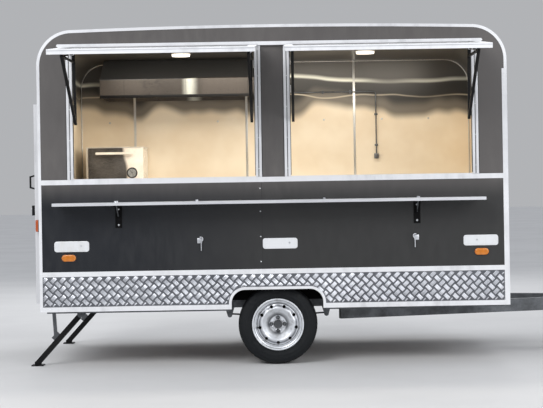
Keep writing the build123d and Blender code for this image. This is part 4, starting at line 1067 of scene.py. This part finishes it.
def make_tyre(name, side):
    """A tyre with ribbed walls, grooves and sipes, pressed into the turned profile."""
    shape = bmesh.new()
    segments = 216
    profile = tyre_profile()
    centre = (wheel_x, side * wheel_y, wheel_z)
    rings = add_lathe(shape, profile, centre, segments, side)
    for (along, radius), ring in zip(profile, rings):
        if radius < 0.2865:
            continue
        shoulder = abs(along) > 0.055
        pitch = 6 if shoulder else 9
        slant = 0 if shoulder else int(abs(along) * 110)
        for step, vertex in enumerate(ring):
            if (step + slant) % pitch == 0:
                arm = vertex.co - Vector(centre)
                arm.y = 0
                vertex.co -= arm.normalized() * (0.005 if shoulder else 0.003)
    lip = bead_half - 0.016
    bead = [(along, bead_radius) for along in (bead_half, lip, -lip, -bead_half)]
    add_lathe(shape, bead, centre, segments, side)
    made = piece(shape, f"tyre_{name}", "tyre_rubber", f"wheel_{name}", 28)
    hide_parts(f"wheel_{name}_tyre")


def make_rim(name, side):
    """A pressed steel wheel: coned dish, raised ridge and nine round holes."""
    y = side * wheel_y
    shape = bmesh.new()
    section = rim_section + rim_section[:1]
    segments = 180
    rings = add_lathe(shape, section, (wheel_x, y, wheel_z), segments, side)
    for (along, radius), ring in zip(section, rings):
        if not 0.1245 < radius < 0.1525 or along < 0.045:
            continue
        share = math.cos(math.pi * (radius - 0.1385) / 0.028)
        for step, vertex in enumerate(ring):
            angle = 2 * math.pi * step / segments - math.pi / 2
            swell = math.cos(hole_count * (angle - math.pi))
            vertex.co.y -= side * 0.0028 * share * swell
    bmesh.ops.remove_doubles(shape, verts=shape.verts[:], dist=1e-6)
    bmesh.ops.recalc_face_normals(shape, faces=shape.faces[:])
    cutters = bmesh.new()
    for c, s in arc(270, 590, 40):
        x, z = wheel_x + hole_circle * c, wheel_z + hole_circle * s
        add_rod(cutters, (x, y + side * 0.040, z), (x, y + side * 0.072, z), 0.0125, segments=32)
    cutter = link("cutter", to_mesh(cutters, "cutter"))
    blank = link("blank", to_mesh(shape, "blank"))
    holes = blank.modifiers.new("holes", "BOOLEAN")
    holes.operation = "DIFFERENCE"
    holes.solver = "EXACT"
    holes.object = cutter
    depsgraph = bpy.context.evaluated_depsgraph_get()
    cut_mesh = bpy.data.meshes.new_from_object(blank.evaluated_get(depsgraph))
    cut_shape = bmesh.new()
    cut_shape.from_mesh(cut_mesh)
    spent = (cutter.data, blank.data, cut_mesh)
    for made in (cutter, blank):
        bpy.data.objects.remove(made)
    for mesh in spent:
        bpy.data.meshes.remove(mesh)
    made = piece(cut_shape, f"rim_{name}", "wheel_silver", f"wheel_{name}", 40)
    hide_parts(f"wheel_{name}_rim")


def make_wheel_details(name, side):
    """Hub with four lobes, bolts in wells shown by dark discs of painted shade, cap, brake shield
    and valve.
    """
    y = side * wheel_y
    body = f"wheel_{name}"
    hub = bmesh.new()
    loops = []
    for along, share, round_radius in hub_rows:
        loop = []
        for step in range(96):
            angle = 2 * math.pi * step / 96
            reach = share * (0.055 + 0.009 * math.cos(4 * angle)) + round_radius
            x, z = wheel_x + reach * math.cos(angle), wheel_z + reach * math.sin(angle)
            loop.append((x, y + side * along, z))
        loops.append(loop)
    add_loops(hub, loops, fill_last=False)
    piece(hub, f"wheel_hub_{name}", "bright_zinc", body)

    bolts = bmesh.new()
    # Dark discs round the bolts are painted shade standing in for their recesses.
    bolt_shade_discs = bmesh.new()
    face = y + side * 0.040
    for c, s in arc(0, 270, 90):
        x, z = wheel_x + bolt_circle * c, wheel_z + bolt_circle * s
        for shape, start, end, radii, segments in (
            (bolt_shade_discs, -0.002, 0.001, (0.0145, 0.0145), 16),
            (bolts, -0.004, 0.004, (0.0105, 0.0098), 16),
            (bolts, 0.004, 0.018, (0.0095, 0.009), 6),
        ):
            foot, head = (x, face + side * start, z), (x, face + side * end, z)
            add_rod(shape, foot, head, *radii, segments)
    piece(bolt_shade_discs, f"wheel_bolt_shade_{name}", "black_steel", body)
    piece(bolts, f"wheel_bolts_{name}", "galvanised_steel", body)

    cap = bmesh.new()
    add_lathe(cap, cap_profile, (wheel_x, y, wheel_z), 40, side)
    piece(cap, f"wheel_cap_{name}", "cap_iron", body)
    shield = bmesh.new()
    add_lathe(shield, shield_profile, (wheel_x, y, wheel_z), 64, side)
    piece(shield, f"wheel_shield_{name}", "black_steel", body)

    valve = bmesh.new()
    angle = math.radians(188)
    out = Vector((math.cos(angle), 0, math.sin(angle)))
    foot = Vector((wheel_x, y + side * 0.060, wheel_z)) + out * 0.157
    tip = foot + Vector((0, side * 0.026, 0)) - out * 0.008
    add_rod(valve, foot, tip, 0.0055, 0.004)
    add_rod(valve, tip, tip + Vector((0, side * 0.010, 0)), 0.0048, 0.0042)
    piece(valve, f"wheel_valve_{name}", "gasket_and_shade", body)


for name, side in sides:
    make_tyre(name, side)
    make_rim(name, side)
    make_wheel_details(name, side)

# Lids and lamps: stacks of rounded outlines, each row an (inset, rise)


def on_wall(side):
    """Places points of a lid on a long wall of the body."""
    return lambda u, v, rise: (u, side * (half_width + rise), v)


def on_rear(u, v, rise):
    return -half_length - rise, u, v


def middle_z(node):
    """The height of the middle of a CAD node."""
    low, high = local_box(node)
    return (low.z + high.z) / 2


cover_size = (0.260, 0.080)
cover_rows = millimetres(
    (0, 0), (0, 4), (1.2, 6.6), (4, 7.8), (9, 8), (9.8, 6.8), (11.2, 6.8), (12, 7.8), (30, 8),
)
covers = bmesh.new()
locks = bmesh.new()
cover_z = middle_z("side_covers")
for x, lock_shift in ((-1.510, 0.07), (0.042, 0.07), (1.540, -0.03)):
    add_lid(covers, (x, cover_z), cover_size, 0.020, cover_rows, 6, on_wall(-1))
    lock_x, lock_y, lock_z = x + lock_shift, -half_width - 0.008, cover_z + 0.004
    add_rod(locks, (lock_x, lock_y, lock_z), (lock_x, lock_y - 0.001, lock_z), 0.007)
made = piece(covers, "cover_lids", "white_plastic")
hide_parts("side_covers")
piece(locks, "cover_locks", "bare_aluminium")

marker_size = (0.115, 0.060)
marker_foot = millimetres((0, 0), (0, 3), (1.5, 4.5), (6, 4.5))
marker_lens = millimetres((5, 4), (5, 7.5), (8, 10.5), (13, 11.8), (20, 12))
feet = bmesh.new()
lenses = bmesh.new()
marker_z = middle_z("marker_lamps")
for name, side in sides:
    for x in (-1.533, 1.545):
        for shape, rows in ((feet, marker_foot), (lenses, marker_lens)):
            add_lid(shape, (x, marker_z), marker_size, 0.0295, rows, 7, on_wall(side))
made = piece(lenses, "marker_lenses", "amber_lens")
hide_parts("marker_lamps")
piece(feet, "marker_feet", "black_plastic")

tail_size = (0.050, 0.096)
tail_foot = millimetres((0, 0), (0, 10), (1, 12), (4, 12))
tail_lens = millimetres((3, 11), (3, 28), (6, 33), (12, 35))
feet = bmesh.new()
lenses = bmesh.new()
tail_z = middle_z("tail_lamps")
for name, side in sides:
    centre = (side * (inner_half_width - 0.014), tail_z)
    for shape, rows in ((feet, tail_foot), (lenses, tail_lens)):
        add_lid(shape, centre, tail_size, 0.008, rows, 5, on_rear, least=0.008)
made = piece(lenses, "tail_lenses", "tail_lens")
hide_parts("tail_lamps")
piece(feet, "tail_feet", "black_plastic")

# Shelf latches: a plate, a curved hook and a hanging rod
latches = bmesh.new()
latch_top = 0.972
plate_y = -half_width - 0.004
pivot_z = latch_top - 0.036
for x, hook in ((-0.558, 1), (1.060, -1)):
    plate_z = (latch_top - 0.052, latch_top - 0.014)
    add_box(latches, about(x, 0.018), (plate_y, -half_width), plate_z, 0.001)
    for dx in (-0.012, 0.012):
        for dz in (-0.020, -0.046):
            rivet = (x + dx, plate_y, latch_top + dz)
            add_dome(latches, rivet, (0, -1, 0), 0.003, 0.0015, 8)
    line = [
        (x + hook * (0.010 + 0.014 * c), -half_width - 0.013, latch_top - 0.022 + 0.016 * s)
        for c, s in arc(-60, 120, 15)
    ]
    add_pipe(latches, line, 0.0045, 10)
    rod_x, rod_y, rod_z = x + hook * 0.012, -half_width - 0.012, latch_top - 0.105
    add_rod(latches, (rod_x, plate_y, pivot_z), (rod_x, -half_width - 0.018, pivot_z), 0.008)
    add_rod(latches, (rod_x, rod_y, pivot_z), (rod_x, rod_y, rod_z), 0.0045)
    add_dome(latches, (rod_x, rod_y, rod_z), (0, 0, -1), 0.0045, 0.003)
made = piece(latches, "shelf_latches", "bare_aluminium")
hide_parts("latches")

# Flaps: fine lines along the front and side edges, and screws in the frame
flap_tilt = math.radians(6)
flap_out = Vector((0, -math.cos(flap_tilt), -math.sin(flap_tilt)))
flap_up = Vector((0, -math.sin(flap_tilt), math.cos(flap_tilt)))
flap_hinge = Vector((0, -half_width - 0.032, 2.378))
flap_half = 0.7115
line_up = (0.0045, 0.0085)


def flap_point(x, out, up):
    """A point of an open flap, out from its hinge and up from its middle plane."""
    return flap_hinge + Vector((x, 0, 0)) + flap_out * out + flap_up * up


def flap_strip(shape, along, outward, upward):
    """Adds a box that lies along an open flap."""
    points = [flap_point(x, out, up) for x in along for out in outward for up in upward]
    faces = (
        (0, 1, 3, 2), (4, 6, 7, 5), (0, 4, 5, 1), (2, 3, 7, 6), (0, 2, 6, 4), (1, 5, 7, 3)
    )
    add_faces(shape, points, faces)


for name, centre in windows:
    lines = bmesh.new()
    front = (centre - flap_half + 0.002, centre + flap_half - 0.002)
    flap_strip(lines, front, (0.963, 0.9643), line_up)
    for end in (-1, 1):
        edge = centre + end * flap_half
        flap_strip(lines, sorted((edge, edge + end * 0.0006)), (0.02, 0.96), line_up)
    piece(lines, f"flap_{name}_line", "bare_aluminium", f"flap_{name}")
    heads = bmesh.new()
    for end in (-1, 1):
        for out in (0.05, 0.345, 0.64, 0.935):
            for inset, up, normal in ((0.03, 0.018, flap_up), (0.018, -0.018, -flap_up)):
                spot = flap_point(centre + end * (flap_half - inset), out, up)
                add_dome(heads, spot, normal, 0.005, 0.002)
    for step in range(1, 6):
        x = centre - flap_half + step * flap_half / 3
        add_dome(heads, flap_point(x, 0.946, 0.018), flap_up, 0.005, 0.002)
    piece(heads, f"flap_{name}_screws", "white_aluminium", f"flap_{name}")

# Shelf: bolt heads, and the screws of its bracket legs
shelf_low, shelf_high = local_box("shelf")
bolts = bmesh.new()
for x in (-1.158, -0.565, 0.373, 1.066):
    for y in (shelf_low.y + 0.035, shelf_low.y + 0.15):
        add_hex(bolts, (x, y, shelf_high.z), (0, 0, 1), 0.0085, 0.011)
piece(bolts, "shelf_bolts", "bare_aluminium", "shelf")
legs_foot = local_box("shelf_legs")[0].z
screws = bmesh.new()
for x in (-1.158, 1.066):
    for z in (legs_foot + 0.022, legs_foot + 0.14):
        add_dome(screws, (x, -half_width - 0.004, z), (0, -1, 0), 0.0075, 0.003, 12)
piece(screws, "bracket_screws", "bare_aluminium")

# Rear door: edge channel, lock, and the lining and screws of its inner face
outside, inside = -half_length - 0.044, -half_length - 0.004
(y0, z0), (y1, z1) = ((-0.956, 0.482), (-0.256, 1.978))
thin = 0.0012
band = 0.022
face_x = (outside - thin, outside)
channel = bmesh.new()
for x, y, z in (
    (face_x, (y0, y0 + band), (z0, z1)),
    (face_x, (y1 - band, y1), (z0, z1)),
    (face_x, (y0 + band, y1 - band), (z0, z0 + band)),
    (face_x, (y0 + band, y1 - band), (z1 - band, z1)),
    ((outside - thin, inside), (y0 - thin, y0), (z0, z1)),
    ((outside - thin, inside), (y0, y1), (z1, z1 + thin)),
):
    add_box(channel, x, y, z)
piece(channel, "door_channel", "white_aluminium", "rear_door")
lock = bmesh.new()
for z, proud, radius in ((1.19, 0.028, 0.012), (1.16, 0.027, 0.006)):
    start, end = (outside - 0.024, y0 + band, z), (outside - proud, y0 + band, z)
    add_rod(lock, start, end, radius)
piece(lock, "door_lock", "bare_aluminium", "rear_door")

gap = 0.006
lining = bmesh.new()
add_box(
    lining, (inside, inside + thin), (door_y0 + gap, door_y1 - gap),
    (door_z0 + gap, door_z1 - gap), 0.0004,
)
piece(lining, "door_lining", "lining_steel", "rear_door")
screws = bmesh.new()
for z in (0.53, 1.0, 1.45, 1.92):
    for y in (door_y0 + 0.026, door_y1 - 0.026):
        add_dome(screws, (inside + thin, y, z), (1, 0, 0), 0.006, 0.002)
piece(screws, "door_lining_screws", "worktop_steel", "rear_door")

# Running gear: clamps over the springs, and bolt heads on hangers, steadies and coupling
spring_y = 0.715
eye_z = 0.362
clamp_half = 0.032
steady_x, steady_y, steady_z = -1.485, 0.800, 0.385
clamps = bmesh.new()
for name, side in sides:
    middle = side * spring_y
    for x in about(wheel_x, 0.034):
        line = [
            (x, middle - clamp_half, eye_z + 0.010),
            *(
                (x, middle + clamp_half * c, wheel_z + clamp_half * s)
                for c, s in arc(180, 360, 15)
            ),
            (x, middle + clamp_half, eye_z + 0.010),
        ]
        add_pipe(clamps, line, 0.005, 8)
        for y in about(middle, clamp_half):
            add_hex(clamps, (x, y, eye_z), (0, 0, 1), 0.008, 0.010)
    for x in about(wheel_x, 0.370):
        for face in (-1, 1):
            add_hex(clamps, (x, middle + face * 0.0305, eye_z), (0, face, 0), 0.010, 0.010)
    for face in (-1, 1):
        head = (steady_x, side * steady_y + face * 0.0255, steady_z)
        add_hex(clamps, head, (0, face, 0), 0.009, 0.009)
piece(clamps, "chassis_bolts", "galvanised_steel")

bolts = bmesh.new()
for x in (2.645, 2.765):
    for y in (-0.018, 0.018):
        add_hex(bolts, (x, y, 0.4395), (0, 0, 1), 0.007, 0.008)
piece(bolts, "coupling_bolts", "galvanised_steel")

# The grip of the jockey wheel's crank, in rows of (radius, rise)
grip_x, grip_y = 2.450, 0.130
grip_z = local_box("jockey_tube")[1].z - 0.080
grip_rows = millimetres((7, 0), (13.5, 4), (14.5, 30), (13.5, 70), (10.5, 78))
grip = bmesh.new()
loops = [
    [(grip_x + radius * c, grip_y + radius * s, grip_z + rise) for c, s in arc(0, 340, 20)]
    for radius, rise in grip_rows
]
add_loops(grip, loops, fill_first=True)
piece(grip, "jockey_crank_grip", "black_plastic")

# Camera, at the photograph's viewing angle

photo_width = 543
focal_pixels = 1527
lens_centre_right = 34.3
lens_centre_up = 23.1

camera_data = bpy.data.cameras.new("camera")
camera_data.sensor_width = 36
camera_data.lens = focal_pixels / photo_width * camera_data.sensor_width
camera_data.shift_x = -lens_centre_right / photo_width
camera_data.shift_y = -lens_centre_up / photo_width
camera = link("camera", camera_data)
camera.location = at(0.139, -12.439, 1.370)
camera.rotation_mode = "QUATERNION"
look = Matrix.Rotation(math.radians(-0.51), 4, "Z")
look = look @ Matrix.Rotation(math.radians(90.01), 4, "X")
look = look @ Matrix.Rotation(math.radians(-0.93), 4, "Z")
camera.rotation_quaternion = look.to_quaternion()
bpy.context.scene.camera = camera

# Floor, lights and the view

floor_shape = bmesh.new()
bmesh.ops.create_grid(floor_shape, x_segments=1, y_segments=1, size=60)
bmesh.ops.translate(floor_shape, vec=(0, 0, -0.0005), verts=floor_shape.verts[:])
floor_mesh = to_mesh(floor_shape, "studio_floor")
floor_mesh.materials.append(materials["studio_floor"])
studio_floor = link("studio_floor", floor_mesh)


def area_light(name, place, target, width, height, power, tint=(1, 1, 1)):
    data = bpy.data.lights.new(name, "AREA")
    data.shape = "RECTANGLE"
    data.size = width
    data.size_y = height
    data.energy = power
    data.color = tint
    made = link(name, data)
    made.location = place
    made.rotation_mode = "QUATERNION"
    made.rotation_quaternion = (target - place).to_track_quat("-Z", "Y")


area_light("key", at(-4.5, -8.5, 6.5), at(0, 0, 1.2), 6, 4, 480)
area_light("fill", at(5.5, -7.5, 4.0), at(0, 0, 1.2), 5, 4, 270)
area_light("back", at(0, 7.0, 6.0), at(0, 0, 1.4), 7, 3, 260)
area_light("cabin", at(0.0, -0.2, 2.38), at(0.0, 0.0, 1.2), 2.8, 0.5, 40, (1.0, 0.93, 0.82))
area_light("cabin_floor", at(0.0, -0.1, 0.9), at(0.0, 0.0, 2.4), 2.6, 0.6, 14, (1.0, 0.95, 0.88))

# The world is a little darker to the camera's rays than to the others
world = bpy.data.worlds.new("studio")
bpy.context.scene.world = world
world.use_nodes = True
tree = world.node_tree
background = tree.nodes["Background"]
background.inputs["Strength"].default_value = 0.85
path = tree.nodes.new("ShaderNodeLightPath")
mix = tree.nodes.new("ShaderNodeMix")
mix.data_type = "RGBA"
mix.inputs[6].default_value = (0.62, 0.64, 0.68, 1)
mix.inputs[7].default_value = (0.52, 0.53, 0.55, 1)
tree.links.new(path.outputs["Is Camera Ray"], mix.inputs["Factor"])
tree.links.new(mix.outputs[2], background.inputs["Color"])

bpy.context.scene.view_settings.view_transform = "Standard"
